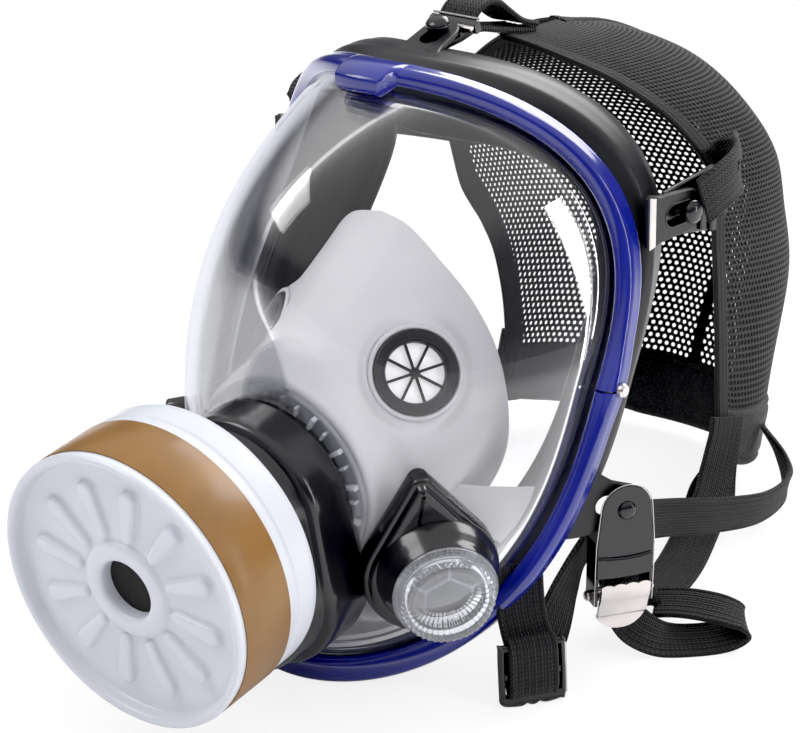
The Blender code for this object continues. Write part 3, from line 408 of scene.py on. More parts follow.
def lens_heights(frame, outline, before, behind):
    """Heights on the frame's z at which the outline meets the lens, between two limits."""
    heights = []
    for x, y in outline:
        near, far = before, behind
        for _ in range(30):
            mid = (near + far) / 2
            p = frame.at((x, y, mid))
            if p[1] < dome_y(p[0], p[2]):
                near = mid
            else:
                far = mid
        heights.append(near)
    return np.array(heights)


# ---------------------------------------------------------------- materials
class Tree:
    """A node tree under construction for a material or a world."""

    def __init__(self, owner):
        owner.use_nodes = True
        self.owner, self.nodes = owner, owner.node_tree.nodes
        self.links = owner.node_tree.links

    def set(self, node, inputs):
        """Links each socket that is given, and fills in each plain value."""
        for key, value in inputs.items():
            if isinstance(value, bpy.types.NodeSocket):
                self.links.new(value, node.inputs[key])
            else:
                node.inputs[key].default_value = value

    def add(self, kind, inputs=None, **settings):
        node = self.nodes.new("ShaderNode" + kind)
        for key, value in settings.items():
            setattr(node, key, value)
        self.set(node, inputs or {})
        return node

    def math(self, operation, *values, clamp=False):
        inputs = dict(enumerate(values))
        return self.add("Math", inputs, operation=operation, use_clamp=clamp).outputs[0]

    def mix(self, share, first, second):
        return self.add("MixShader", {"Fac": share, 1: first, 2: second}).outputs[0]

    def coords(self, kind="Object"):
        source = self.add("TexCoord").outputs[kind]
        return self.add("Mapping", {"Vector": source}).outputs["Vector"]

    def noise(self, vector, scale, detail=3.0, rough=0.5):
        inputs = {"Scale": scale, "Detail": detail, "Roughness": rough, "Vector": vector}
        return self.add("TexNoise", inputs).outputs["Fac"]

    def ramp(self, value, stops):
        node = self.add("ValToRGB", {"Fac": value})
        elements = node.color_ramp.elements
        while len(elements) < len(stops):
            elements.new(0.5)
        for element, (position, colour) in zip(elements, stops):
            element.position = position
            element.color = (*colour, 1.0)
        return node.outputs["Color"]

    def spread(self, value, **limits):
        """Map range; limits are to_min, to_max, from_min and from_max."""
        inputs = {key.replace("_", " ").title(): limit for key, limit in limits.items()}
        return self.add("MapRange", {**inputs, "Value": value}).outputs["Result"]

    def bump(self, height, strength, distance, under=None):
        inputs = {"Height": height, "Strength": strength, "Distance": distance}
        if under is not None:
            inputs["Normal"] = under
        return self.add("Bump", inputs).outputs["Normal"]


def shader(name, colour, roughness, metallic=0.0, viewport=None):
    tree = Tree(bpy.data.materials.new(name))
    tree.main = tree.nodes["Principled BSDF"]
    base = {"Base Color": (*colour, 1.0), "Roughness": roughness, "Metallic": metallic}
    tree.set(tree.main, base)
    tree.owner.diffuse_color = viewport or (*colour, 1.0)
    return tree


def moulded(
    name, colour, roughness, grain=0.00003, scale=1500, wear=0.05,
    coat=0.0, metallic=0.0, ripple=0.0002, tone=0.14, glow=None,
):
    """Moulded plastic, rubber or paint with a fine grain and a slow ripple.

    grain and ripple are depths in metres, scale is the grain's fineness, and wear and tone
    are how far roughness and colour vary. glow is painted light: the surface emits white at
    that strength, though it is no lamp.
    """
    tree = shader(name, colour, roughness, metallic)
    place = tree.coords()
    fine = tree.noise(place, scale, detail=2.0)
    slow = tree.noise(place, 45)
    light = tuple(min(c * (1 + tone) + 0.001, 1) for c in colour)
    dark = tuple(c * (1 - tone) for c in colour)
    low = max(roughness - wear, 0.02)
    under = tree.bump(slow, strength=0.25, distance=ripple)
    tree.set(tree.main, {
        "Roughness": tree.spread(slow, to_min=low, to_max=roughness + wear),
        "Base Color": tree.ramp(slow, [(0.35, dark), (0.65, light)]),
        "Normal": tree.bump(fine, strength=0.6, distance=grain, under=under),
        "Coat Weight": coat,
        "Coat Roughness": 0.08,
    })
    # glow is painted light: the surface emits white at that strength, though it is no lamp
    if glow:
        light = {"Emission Color": (1.0, 1.0, 1.0, 1.0), "Emission Strength": glow}
        tree.set(tree.main, light)
    return tree.owner


def silicone():
    tree = shader("grey_silicone", (0.6, 0.59, 0.61), roughness=0.4)
    place = tree.coords()
    slow = tree.noise(place, 30)
    fine = tree.noise(place, 1500, detail=2.0)
    under = tree.bump(slow, strength=0.3, distance=0.0004)
    tree.set(tree.main, {
        "Base Color": tree.ramp(slow, [(0.3, (0.64, 0.63, 0.66)), (0.7, (0.7, 0.69, 0.715))]),
        "Roughness": tree.spread(slow, to_min=0.34, to_max=0.46),
        "Subsurface Weight": 0.35,
        "Subsurface Radius": (0.006, 0.005, 0.005),
        "Subsurface Scale": 1.0,
        "Normal": tree.bump(fine, strength=0.5, distance=0.00003, under=under),
    })
    return tree.owner


def clear(name, tint, edge, mirror, rough=0.02, cloud=0.0, haze=0.12, painted_sky_glow=0.0):
    """Thin clear plastic: light goes straight through under a sharp reflection.

    The edge colour gathers as cloud everywhere and as haze edge on. mirror is the strength
    of the reflection. The last argument is a painted reflection: at grazing angles the lens
    emits pale white at that strength.
    """
    tree = shader(name, edge, roughness=0.3, viewport=(*tint, 0.4))
    slow = tree.noise(tree.coords(), 25, detail=2.0)
    normal = tree.bump(slow, strength=0.15, distance=0.0002)
    tree.set(tree.main, {"Normal": normal})
    through = tree.add("BsdfTransparent", {"Color": (*tint, 1.0)}).outputs[0]

    def by_angle(blend, output, times, plus):
        weight = tree.add("LayerWeight", {"Blend": blend}).outputs[output]
        return tree.math("MULTIPLY_ADD", weight, times, plus, clamp=True)

    milky = tree.mix(by_angle(0.2, "Facing", haze, cloud), through, tree.main.outputs[0])
    reflection = tree.add("BsdfGlossy", {
        "Color": (1.0, 1.0, 1.0, 1.0),
        "Roughness": tree.spread(slow, to_min=rough, to_max=rough + 0.015),
        "Normal": normal,
    }).outputs[0]
    # Painted reflection: at grazing angles the lens itself emits pale white
    if painted_sky_glow:
        colour = (0.76, 0.785, 0.85, 1.0)
        white = tree.add("Emission", {"Color": colour, "Strength": painted_sky_glow}).outputs[0]
        reflection = tree.mix(by_angle(0.5, "Facing", 3.2, -2.05), reflection, white)
    shiny = tree.mix(by_angle(0.33, "Fresnel", mirror, 0.0), milky, reflection)
    shadow = tree.add("LightPath").outputs["Is Shadow Ray"]
    surface = tree.mix(shadow, shiny, through)
    tree.set(tree.nodes["Material Output"], {"Surface": surface})
    return tree.owner


def label():
    """Printed sleeve: gold-brown ink with a fine fibre under a thin coat."""
    tree = shader("label_gold", (0.34, 0.16, 0.026), roughness=0.42)
    place = tree.coords()
    slow = tree.noise(place, 60, detail=4.0)
    fine = tree.noise(place, 2600, detail=2.0)
    inks = [(0.3, (0.21, 0.096, 0.014)), (0.7, (0.26, 0.124, 0.02))]
    tree.set(tree.main, {
        "Base Color": tree.ramp(slow, inks),
        "Roughness": tree.spread(slow, to_min=0.34, to_max=0.5),
        "Coat Weight": 0.35,
        "Coat Roughness": 0.2,
        "Normal": tree.bump(fine, strength=0.4, distance=0.00004),
    })
    return tree.owner


def woven(name, dark, light, along, across, depth):
    """Webbing from the strap's millimetre UVs; along and across are the weave's periods."""
    tree = shader(name, dark, roughness=0.78)
    split = tree.add("SeparateXYZ", {0: tree.coords("UV")})

    def wave(source, period, shift=None):
        value = tree.math("MULTIPLY", source, TAU / period)
        if shift is not None:
            value = tree.math("ADD", value, shift)
        return tree.spread(tree.math("SINE", value), from_min=-1.0)

    ribs = wave(split.outputs["Y"], across)
    phase = tree.math("MULTIPLY", split.outputs["Y"], TAU / across)
    picks = wave(split.outputs["X"], along, phase)
    weave = tree.math("MULTIPLY", ribs, picks)
    fuzz = tree.noise(tree.coords(), 1800)
    height = tree.math("MULTIPLY_ADD", fuzz, 0.35, weave)
    tree.set(tree.main, {
        # Colour follows the weave's height: painted shade darkens its hollows, and the fuzz noise
        # varies the tone at random
        "Base Color": tree.ramp(height, [(0.1, dark), (0.9, light)]),
        "Normal": tree.bump(height, strength=0.9, distance=depth),
        "Sheen Weight": 0.1,
        "Sheen Roughness": 0.4,
    })
    return tree.owner


def fleece():
    tree = shader("nape_fleece", (0.012, 0.012, 0.014), roughness=0.85)
    place = tree.coords()
    pile = tree.noise(place, 1300, detail=4.0, rough=0.7)
    clump = tree.noise(place, 260, rough=0.6)
    tones = [
        (0.36, (0.004, 0.004, 0.005)), (0.52, (0.012, 0.012, 0.014)), (0.7, (0.06, 0.06, 0.066)),
    ]
    under = tree.bump(clump, strength=0.6, distance=0.0012)
    tree.set(tree.main, {
        "Base Color": tree.ramp(pile, tones),
        "Normal": tree.bump(pile, strength=0.9, distance=0.0007, under=under),
        "Sheen Weight": 0.15,
        "Sheen Roughness": 0.5,
    })
    return tree.owner


def net_thread():
    tree = shader("black_mesh_thread", (0.012, 0.012, 0.013), roughness=0.72)
    place = tree.coords()
    fine = tree.noise(place, 3000, detail=2.0)
    slow = tree.noise(place, 40, detail=2.0)
    tones = [(0.3, (0.006, 0.006, 0.007)), (0.7, (0.016, 0.016, 0.018))]
    tree.set(tree.main, {
        "Base Color": tree.ramp(slow, tones),
        "Normal": tree.bump(fine, strength=0.8, distance=0.00015),
        "Sheen Weight": 0.1,
    })
    return tree.owner


BLUE = moulded(
    "blue_gloss", (0.010, 0.016, 0.23), 0.16, grain=0.00001, scale=900, wear=0.04, coat=0.8
)
RUBBER = moulded(
    "black_rubber", (0.012, 0.0125, 0.014), 0.36, grain=0.00005, scale=2200, wear=0.07
)
BLACK = moulded(
    "black_plastic", (0.009, 0.009, 0.011), 0.2, grain=0.00002, scale=1800, coat=0.35
)
SATIN_BLACK = moulded(
    "black_satin_plastic", (0.012, 0.012, 0.014), 0.36, grain=0.00004, scale=2200
)
NUT_GREY = moulded("grey_plastic", (0.3, 0.31, 0.34), 0.3, coat=0.3)
# The nut's raised bars are the nut's own grey plastic, painted lighter as a painted highlight
NUT_BARS_PAINTED_LIGHTER = moulded("grey_plastic_painted_lighter", (0.6, 0.61, 0.65), 0.3, coat=0.3)
WHITE = moulded(
    "white_enamel", (0.66, 0.68, 0.74), 0.34, grain=0.00001, scale=1200, wear=0.03,
    coat=0.15, ripple=0.00003, tone=0.02,
)
# The valve discs are white silicone with painted light: a small white glow stands in for light
# reaching them behind the seat spokes
FLAP_PAINTED_GLOW = moulded("white_silicone", (0.74, 0.74, 0.75), 0.45, glow=0.45)
NICKEL = moulded(
    "nickel_steel", (0.6, 0.57, 0.55), 0.22, grain=0.00002, scale=2500, wear=0.07, metallic=1.0
)
DARK_STEEL = moulded(
    "black_steel", (0.02, 0.02, 0.023), 0.25, wear=0.06, coat=0.3, metallic=0.3
)
PAPER = moulded("filter_paper", (0.8, 0.79, 0.74), 0.85, grain=0.0002, scale=900)
CARBON = moulded("carbon_granules", (0.012, 0.012, 0.012), 0.8, grain=0.0008, scale=500)
SCREEN = moulded(
    "screen_metal", (0.55, 0.55, 0.56), 0.35, grain=0.0002, scale=900, wear=0.06, metallic=0.9
)
SILICONE = silicone()
# The lens's white at grazing angles is emitted, a painted reflection
LENS = clear("clear_lens", tint=(0.985, 0.985, 0.99), edge=(0.6, 0.61, 0.66), mirror=0.8, painted_sky_glow=1.0)
CAP = clear(
    "clear_cap", tint=(0.93, 0.94, 0.96), edge=(0.85, 0.86, 0.9), mirror=1.2,
    rough=0.05, cloud=0.07, haze=0.5,
)
GOLD = label()
WEBBING = woven(
    "black_webbing", dark=(0.002, 0.002, 0.0025), light=(0.024, 0.024, 0.027),
    along=1.7, across=1.25, depth=0.0006,
)
FINE_WEB = woven(
    "black_binding_tape", dark=(0.002, 0.002, 0.0025), light=(0.015, 0.015, 0.017),
    along=1.1, across=0.9, depth=0.0003,
)
FLEECE = fleece()
NET = net_thread()


# ---------------------------------------------------------------- lens
LENS_T_STEPS = np.linspace(0, TAU, 240, endpoint=False)
LENS_RHO = np.concatenate([[0.004], np.linspace(0.05, 0.9, 34), np.linspace(0.915, 0.975, 7)])
# (outwards, back) from the hoop's line
LENS_LIP = [(-1.2, 2.2), (-0.5, 3.1), (0.4, 3.3), (4.5, 3.3), (4.5, 5.3), (-0.6, 5.3), (-2.3, 4.6)]


def exhale_frame(side):
    """On the lens at an exhale port; z points out of the mask."""
    at, out = dome(EXHALE_RHO, EXHALE_T), dome_normal(EXHALE_RHO, EXHALE_T)
    return Frame.facing(at * (side, 1, 1), out * (side, 1, 1))


def build_lens():
    t = LENS_T_STEPS
    front = [dome(rho, t) for rho in LENS_RHO]
    back = [dome(rho, t) - LENS_T * dome_normal(rho, t) for rho in LENS_RHO]
    rows = np.array(front + [at_hoop(t, *lip) for lip in LENS_LIP] + back[::-1])
    points = rows.reshape(-1, 3)
    faces = grid_faces(len(rows), len(t), wrap_v=True)
    if inside_out(points, faces):
        faces = faces[:, ::-1]
    mid = points[faces].mean(1)
    radius, _ = PORT.polar(mid)
    keep = ~((radius < PORT_BORE) & (mid[:, 1] < 130))
    for side, _ in SIDES:
        radius, height = exhale_frame(side).polar(mid)
        keep &= ~((radius < EXHALE_BORE) & (np.abs(height) < 16))
    make_object(
        "lens_shell", points, faces[keep].tolist(), LENS, replaces="lens"
    )


# ---------------------------------------------------------------- clamp hoop
# Sections, as (outwards, back) from the hoop's line
BAND_END = [(HOOP_BAND, 8.0), (6.2, 8.6), (5.4, 8.8)]
HOOP_OUT = spline([
    (0.0, 0.9), (0.35, -0.2), (1.6, -1.05), (3.4, -1.25), (5.0, -0.7), (6.1, 0.7),
    (HOOP_BAND, 2.8), (HOOP_BAND, 5.5), *BAND_END,
], 36)
CLIP_OUT = spline([
    (-2.6, -6.2), (-2.2, -7.6), (-0.6, -8.8), (1.8, -9.0), (3.8, -8.6), (5.6, -5.6),
    (6.9, -1.0), (HOOP_BAND + 0.5, 3.2), *BAND_END,
], 36)
HOOP_IN = [(1.9, 8.8), (1.9, 7.4), (5.2, 7.4), (5.2, 2.9), (0.0, 2.9)]
SEAM_GAP_T = 0.0022


def hoop_ring(t):
    """The hoop's section, with a clip over the top middle and a boss at each seam."""
    clip = 0.0
    if math.sin(t) > 0.5:
        clip = clamp((11.4 - abs(float(hoop(t)[0]))) / 2.2)
        clip = clip * clip * (3 - 2 * clip)
    seams = (SEAM_T, math.pi - SEAM_T)
    near = min(abs(math.remainder(t - seam, TAU)) for seam in seams)
    boss = 1.5 * math.exp(-((near / 0.08) ** 2))
    section = np.concatenate([HOOP_OUT + (CLIP_OUT - HOOP_OUT) * clip, HOOP_IN])
    out, back = section.T
    low = HOOP_EXTRA_LOW * max(-math.sin(t), 0) ** 2
    out = out + np.where(out > 0, low * out / HOOP_BAND, 0)
    out = out + np.where(out > 5.5, boss, 0)
    return at_hoop(t, out, back)


def build_hoop():
    left, right = SEAM_T, math.pi - SEAM_T
    upper = np.linspace(left + SEAM_GAP_T, right - SEAM_GAP_T, 210)
    lower = np.linspace(right + SEAM_GAP_T, TAU + left - SEAM_GAP_T, 210)
    clip = np.arccos(np.linspace(-12.6, 12.6, 64) / 88)  # finer steps at the clip
    halves = (("rim_upper", np.sort(np.concatenate([upper, clip]))), ("rim_lower", lower))
    for name, angles in halves:
        solid = Solid().grid([hoop_ring(t) for t in angles], caps=True)
        solid.done(name + "_shell", BLUE, "blue_rim", replaces=name, sharp=40)
    head = [(0, -1.0), (2.6, -1.0), (2.9, 0.0), (2.8, 1.0), (2.2, 1.7), (1.2, 2.0), (0, 2.05)]
    for (side, tag), t in zip(SIDES, (left, right)):
        frame = Frame.facing(at_hoop(t, HOOP_BAND + 2.0, 4.6), (side, 0, 0))
        Solid().lathe(frame, head, 40).done(
            "rim_screw_head_" + tag, NICKEL, "nickel_steel", replaces="rim_screw_" + tag, sharp=30
        )


# ---------------------------------------------------------------- face seal
# Middle line of the skin at the sides, top and bottom, as (outwards, back) from the hoop's line
SEAL_SIDE = np.array([
    (0.3, 10.2), (2.6, 14.5), (0.8, 24.0), (-4.5, 31.5), (-12.0, 37.5), (-20.0, 36.5),
    (-28.0, 31.0),
])
SEAL_TOP = np.array([
    (0.3, 10.2), (3.6, 18.0), (4.6, 31.0), (2.0, 41.0), (-5.0, 46.0), (-16.0, 42.0),
    (-27.0, 32.0),
])
SEAL_LOW = np.array([
    (0.3, 10.2), (2.5, 19.0), (2.0, 30.0), (-1.0, 41.0), (-7.0, 48.0), (-15.0, 46.0),
    (-22.0, 38.0),
])
# The channel that grips the lens, before and after the skin
SEAL_START = [(-4.6, 3.9), (-4.6, 6.1), (4.5, 5.9), (4.5, 7.1), (1.4, 7.1), (1.3, 9.6)]
SEAL_END = [
    (-1.0, 9.8), (-2.4, 8.6), (-6.2, 7.9), (-6.7, 7.2), (-6.8, 5.0), (-6.4, 4.1), (-5.6, 3.7),
]


def seal_ring(t):
    s = math.sin(t)
    top, low = max(s, 0) ** 2, max(-s, 0) ** 2
    line = SEAL_SIDE * (1 - top - low) + SEAL_TOP * top + SEAL_LOW * low
    if s > 0:  # fuller at the upper corners
        line[1:4, 0] += np.array((3.0, 4.6, 3.4)) * math.sin(2 * t) ** 2
    line = spline(line, 34)
    share = np.linspace(0, 1, len(line))
    along = unit(np.gradient(line, axis=0))
    normal = np.stack([along[:, 1], -along[:, 0]], axis=1)
    half = np.interp(share, [0, 0.1, 0.3, 0.6, 0.9, 1.0], [1.0, 1.2, 1.2, 1.1, 0.8, 0.45])
    line = line + normal * (0.5 * bell(share, 0.4, 0.02))[:, None]
    bead = 0.8 * bell(share, 0.16, 0.035)  # raised along the outside near the hoop
    outer = line + normal * (half + bead)[:, None]
    inner = line - normal * half[:, None]
    section = np.concatenate([SEAL_START, outer, inner[::-1], SEAL_END])
    return at_hoop(t, section[:, 0], section[:, 1])


def build_seal():
    rings = [seal_ring(t) for t in np.linspace(0, TAU, 220, endpoint=False)]
    Solid().grid(rings, wrap_u=True).done(
        "face_seal_skin", RUBBER, "black_rubber", replaces="face_seal", sharp=50
    )


# ---------------------------------------------------------------- front port
# Mouth of the housing, as (inset from the outline, height on the port's axis)
PORT_MOUTH = [
    (9.4, 50.2), (6.4, 50.5), (5.2, 51.4), (4.4, 53.6), (3.9, 57.0), (3.4, 63.6), (3.1, 64.6),
    (1.9, 65.1), (1.0, 65.5), (0.35, 66.3), (0.0, 67.6), (0.0, 69.5),
]
# (radius, height)
PORT_SLEEVE = [
    (20.5, 50.2), (25.6, 50.2), (26.0, 55.0), (27.4, 62.0), (27.4, 94.6), (22.2, 94.6),
    (22.2, 69.5), (20.5, 68.0),
]
PORT_COLLAR = [(25.0, 50.2), (31.0, 50.2), (31.0, 54.0), (25.0, 54.0)]
NUT = [
    (28.0, 84.2), (30.2, 84.2), (31.0, 86.4), (36.2, 87.4), (37.4, 86.6), (38.4, 87.0),
    (38.6, 88.4), (33.0, 89.6), (32.9, 94.8), (32.2, 95.3), (28.0, 95.3),
]
# Raised bars on the nut: outline as (outwards, sideways) from the axis, low, high, bevel
NUT_BARS = [
    ([(28.2, -0.7), (28.2, 0.7), (37.4, 0.85), (37.4, -0.85)], 84.4, 88.0, 0.25),
    ([(32.0, 5.4), (32.0, 6.5), (35.4, 6.6), (35.4, 5.5)], 84.8, 87.7, 0.2),
    ([(29.9, 5.0), (29.9, 0.5), (29.2, 0.5), (29.2, 5.0)], 84.8, 87.6, 0.15),
]
NUT_BAR_COUNT = 16


def egg(inset):
    low_r = PORT_LOW_R - inset
    return two_circles((0, 0), PORT_TOP_R - inset, (0, -PORT_DROP), low_r, 40, 40)


def build_port():
    back = lens_heights(PORT, egg(0.0), before=52.0, behind=122.0) + 1.0
    rings = PORT_MOUTH + [(0.0, back), (2.6, back - 0.6), (2.6, 69.0)]
    port = Solid().grid([PORT.ring(egg(inset), height) for inset, height in rings])
    port.lathe(PORT, rounded(PORT_SLEEVE, 0.8, 3), 128)
    port.lathe(PORT, rounded(PORT_COLLAR, 0.3, 2), 128)
    port.done(
        "port_housing_shell", BLACK, "black_plastic", replaces="port_housing", sharp=38
    )


def build_nut():
    bars = Solid()
    for i in range(NUT_BAR_COUNT):
        spoke = PORT.spoke(TAU * (i + 0.5) / NUT_BAR_COUNT)
        for bar in NUT_BARS:
            bars.prism(spoke, *bar)
    # The bars are painted lighter than the nut: painted highlight
    bars.done("port_nut_bars", NUT_BARS_PAINTED_LIGHTER, "grey_plastic", sharp=30)
    Solid().lathe(PORT, rounded(NUT, 0.35, 2), 144).done(
        "port_ring_nut_shell", NUT_GREY, "grey_plastic", replaces="port_ring_nut", sharp=30
    )


# ---------------------------------------------------------------- canister
# (radius, height on the port's axis)
CANISTER = [
    (CANISTER_R, 2.6), (CANISTER_R, 29.0), (CANISTER_R - 0.45, 30.2), (CANISTER_R - 0.45, 31.4),
    (CANISTER_R, 32.4), (CANISTER_R, 40.0), (CANISTER_R - 1.0, 43.0), (48.0, 44.2), (23.0, 44.5),
    (20.2, 46.4), (20.2, 51.0), (19.2, 58.6), (14.6, 59.0), (14.6, 44.6), (22.0, 43.2),
    (47.8, 43.0), (51.2, 39.6), (51.2, 2.6),
]
COVER = [
    (52.5, 2.8), (52.7, 1.7), (52.5, 0.7), (51.9, 0.1), (51.0, -0.05), (50.1, 0.15), (49.5, 0.7),
    (49.2, 1.6), (48.9, 3.6), (48.3, 4.6), (47.2, 5.0), (40.0, 5.0), (19.6, 4.7), (18.7, 4.3),
    (18.1, 3.5), (17.5, 2.9), (16.6, 2.6), (13.2, 2.45), (12.2, 2.6), (11.4, 3.2), (11.05, 4.2),
    (11.0, 8.6), (11.8, 8.6), (11.9, 6.2), (48.0, 6.4), (50.8, 5.4), (50.9, 3.0),
]
LABEL_IN, LABEL_OUT = CANISTER_R + 0.05, CANISTER_R + 0.55
LABEL = [(LABEL_IN, 4.2), (LABEL_OUT, 4.2), (LABEL_OUT, 27.0), (LABEL_IN, 27.0)]
PETAL_COUNT = 12
# Raised petals on the cover, as (growth of the outline, height)
PETAL = [(0.8, 4.95), (0.25, 4.6), (0.0, 3.9), (-0.25, 3.2), (-0.8, 2.8), (-1.6, 2.7)]


def build_canister():
    Solid().lathe(PORT, rounded(CANISTER, 1.1, 4), 200).done(
        "canister_shell_skin", WHITE, "white_enamel", "canister", "canister_shell", sharp=30
    )
    cover = Solid().lathe(PORT, COVER, 200)
    base = two_circles((22.3, 0), 2.3, (37.6, 0), 3.6, 10, 14)
    normals = outline_normals(base)
    for i in range(PETAL_COUNT):
        spoke = PORT.spoke(TAU * (i + 0.35) / PETAL_COUNT)
        cover.grid([spoke.ring(base + normals * grow, z) for grow, z in PETAL], caps=True)
    cover.done("canister_cover_skin", WHITE, "white_enamel", "canister", "canister_cover")
    Solid().lathe(PORT, rounded(LABEL, 0.15, 2), 200).done(
        "canister_label_skin", GOLD, "label_gold", "canister", "canister_label", sharp=30
    )
    # dark disc behind the centre hole: painted shade, a dark sheet that closes the hole in front
    # of the parts behind it
    Solid().lathe(PORT, [(0, 8.0), (11.6, 8.0), (11.6, 8.9), (0, 8.9)]).done(
        "centre_hole_painted_shade", CARBON, "carbon", "canister", sharp=30
    )


# ---------------------------------------------------------------- exhale ports
# Outer face of the housing, as (inset from the outline, height)
EXHALE_FACE = [
    (0.0, 3.2), (0.25, 3.9), (0.9, 4.4), (1.7, 4.55), (1.9, 4.8), (2.05, 6.6), (2.5, 7.4),
    (3.3, 7.8), (5.0, 7.9),
]
# (radius, height)
EXHALE_COLLAR = [
    (15.3, 6.0), (22.6, 6.0), (22.3, 8.2), (21.0, 12.0), (19.4, 15.4), (18.8, 17.6), (18.2, 19.0),
    (16.8, 19.0), (15.3, 17.0),
]
EXHALE_FLOOR = [(0, 2.0), (15.6, 2.0), (15.6, 7.0), (14.9, 7.0), (14.9, 2.6), (0, 2.6)]
CAP_FLANGE = [(15.0, 19.4), (19.0, 19.4), (19.2, 20.2), (18.9, 20.9), (17.2, 21.2), (15.0, 21.0)]
# Dark disc under the cap's face: painted shade, closing off the valve below it
EXHALE_PAINTED_SHADE = [(0, 18.0), (13.6, 18.0), (14.9, 18.6), (14.9, 19.2), (0, 19.6)]
# The cap's wall, over its face and back down inside: radius, height, depth of the grooves
CAP_WALL = [
    (17.6, 20.8, 0.9), (17.5, 21.6, 0.95), (17.1, 25.8, 0.95), (16.7, 26.8, 0.7),
    (16.0, 27.5, 0.3), (15.2, 27.8, 0), (14.2, 27.85, 0), (13.4, 27.6, 0), (13.0, 27.0, 0),
    (12.6, 26.9, 0), (0.02, 26.9, 0), (0.02, 25.7, 0), (13.6, 25.7, 0), (14.6, 25.2, 0),
    (15.1, 21.0, 0),
]
CAP_RIBS = 44
CAGE_R, CAGE_REACH, CAGE_WIRE = 9.6, 14.4, 0.55


def exhale_housing(side, tag):
    frame = exhale_frame(side)

    def outline(inset):
        top, bottom = (-6.4 * side, 33.8), (-1.2 * side, -3.2)
        return two_circles(top, 4.0 - inset, bottom, 25.0 - inset, 14, 44)

    base = lens_heights(frame, outline(0.0), before=12.0, behind=-30.0) - 0.6
    base = np.maximum(base, -18.0)
    rings = [(1.6, base), (0.0, base)] + EXHALE_FACE
    house = Solid().grid([frame.ring(outline(inset), h) for inset, h in rings], caps=True)
    house.lathe(frame, rounded(EXHALE_COLLAR, 0.7, 3), 120)
    house.lathe(frame, EXHALE_FLOOR, 64)
    house.done(
        "exhale_housing_shell_" + tag, BLACK, "black_plastic",
        replaces="exhale_housing_" + tag, sharp=38,
    )


def exhale_cap(side, tag):
    """Clear ribbed cap, the hexagon of wires behind its face, and a dark disc below."""
    frame, body = exhale_frame(side), "exhale_cover_" + tag
    cap = Solid().lathe(frame, rounded(CAP_FLANGE, 0.3, 2), 140)
    a = np.linspace(0, TAU, 280, endpoint=False)
    groove = 0.5 - 0.5 * np.cos(a * CAP_RIBS)
    rings = []
    for radius, height, depth in CAP_WALL:
        r = radius - depth * groove
        rings.append(frame.ring(np.column_stack([np.cos(a) * r, np.sin(a) * r]), height))
    cap.grid(rings)
    cap.done("exhale_cap_shell_" + tag, CAP, "clear_cap", body, "exhale_cap_" + tag)

    cage = Solid()
    a = TAU * (np.arange(7) + 0.5) / 6
    corners = CAGE_R * np.column_stack([np.cos(a), np.sin(a)])
    for p, q in zip(corners, corners[1:]):
        cage.tube(frame.at([(*p, 25.0), (*q, 25.0)]), CAGE_WIRE)
        cage.tube(frame.at([(*p, 25.0), (*(p * CAGE_REACH / CAGE_R), 24.4)]), CAGE_WIRE)
    cage.done("exhale_cap_cage_" + tag, CAP, "clear_cap", body, sharp=60)
    # the dark disc under the cap is painted shade
    Solid().lathe(frame, EXHALE_PAINTED_SHADE, 64).done(
        "exhale_painted_shade_" + tag, SATIN_BLACK, "black_plastic", body, sharp=30
    )


# ---------------------------------------------------------------- nose cup
# The cup's rim against the face, from the top middle down the wearer's left to the bottom
CUP_EDGE = [
    (0, 147, 97), (13, 146.5, 94), (25, 150, 82), (35, 156, 67), (42, 162, 48), (45, 166, 25),
    (44, 166, 4), (36, 160, -15), (20, 150, -28), (0, 145, -33),
]
CUP_CENTRE = np.array((0, 150, 25))
# The bell's front lip, as (radius, height on the port's axis)
BELL_LIP = [(34.0, 92.0), (34.0, 90.2), (34.5, 89.9), (38.0, 90.2), (39.6, 90.9), (40.4, 92.4)]
N_CUP = 208
CUP_A = math.pi / 2 - TAU * np.arange(N_CUP) / N_CUP
HALF_EDGE = spline(CUP_EDGE, N_CUP // 2 + 1)
CUP_RIM = np.concatenate([HALF_EDGE, (HALF_EDGE * (-1, 1, 1))[-2:0:-1]])
# Cup valve parts, as (radius, height)
VALVE_LIP = [(15.7, -1.0), (17.4, -1.0), (17.9, 0.1), (17.2, 0.9), (16.3, 0.8), (15.9, 0.4)]
VALVE_SEAT = [
    (10.9, -2.6), (15.6, -2.6), (15.6, 0.9), (15.0, 1.6), (12.2, 1.5), (11.4, 0.7), (10.9, -0.8),
]
VALVE_HUB = [(0, -2.6), (2.0, -2.6), (2.0, -1.2), (1.3, -0.7), (0, -0.6)]
# The web's edges at the cup and at the collar
WEB_INNER = [(37, 127, 6.2), (42, 128, 1.5), (47, 130.5, -4.0), (52, 132.5, -8.5)]
WEB_OUTER = [(68, 150, 3.4), (67.8, 147, -1.5), (67, 141, -7.5), (65, 133, -13.5)]


def bell_row(radius, height):
    return PORT.ring(np.column_stack([-np.cos(CUP_A), np.sin(CUP_A)]) * radius, height)


def cup_row(w, inset):
    """A row of the cup's wall: w is 0 at the bell and 1 at the rim."""
    start = bell_row(40.5 - inset, 95.5)
    edge = CUP_RIM - unit(CUP_RIM - CUP_CENTRE) * inset
    p = start + (edge - start) * w
    c, s = np.cos(CUP_A), np.sin(CUP_A)
    side = np.abs(c)
    swell = np.column_stack([np.sign(c) * side * 3.0, -3.0 * side, -2.0 * np.maximum(s, 0)])
    p = p + swell * 4 * w * (1 - w)
    # a soft waist round the bell, and the fold that runs from the bell out to the cheek
    p = p - unit(p - CUP_CENTRE) * 1.6 * bell(w, 0.13, 0.07)
    fold = 1.7 * bell(np.arctan2(s, side), 0.55 * w - 0.62, 0.09)
    return p + unit(p - CUP_CENTRE) * (fold * math.sin(math.pi * min(w * 1.05, 1)))[:, None]


def valve_frame(side):
    return Frame.facing(CUP_VALVE_AT * (side, 1, 1), CUP_VALVE_AXIS * (side, 1, 1))


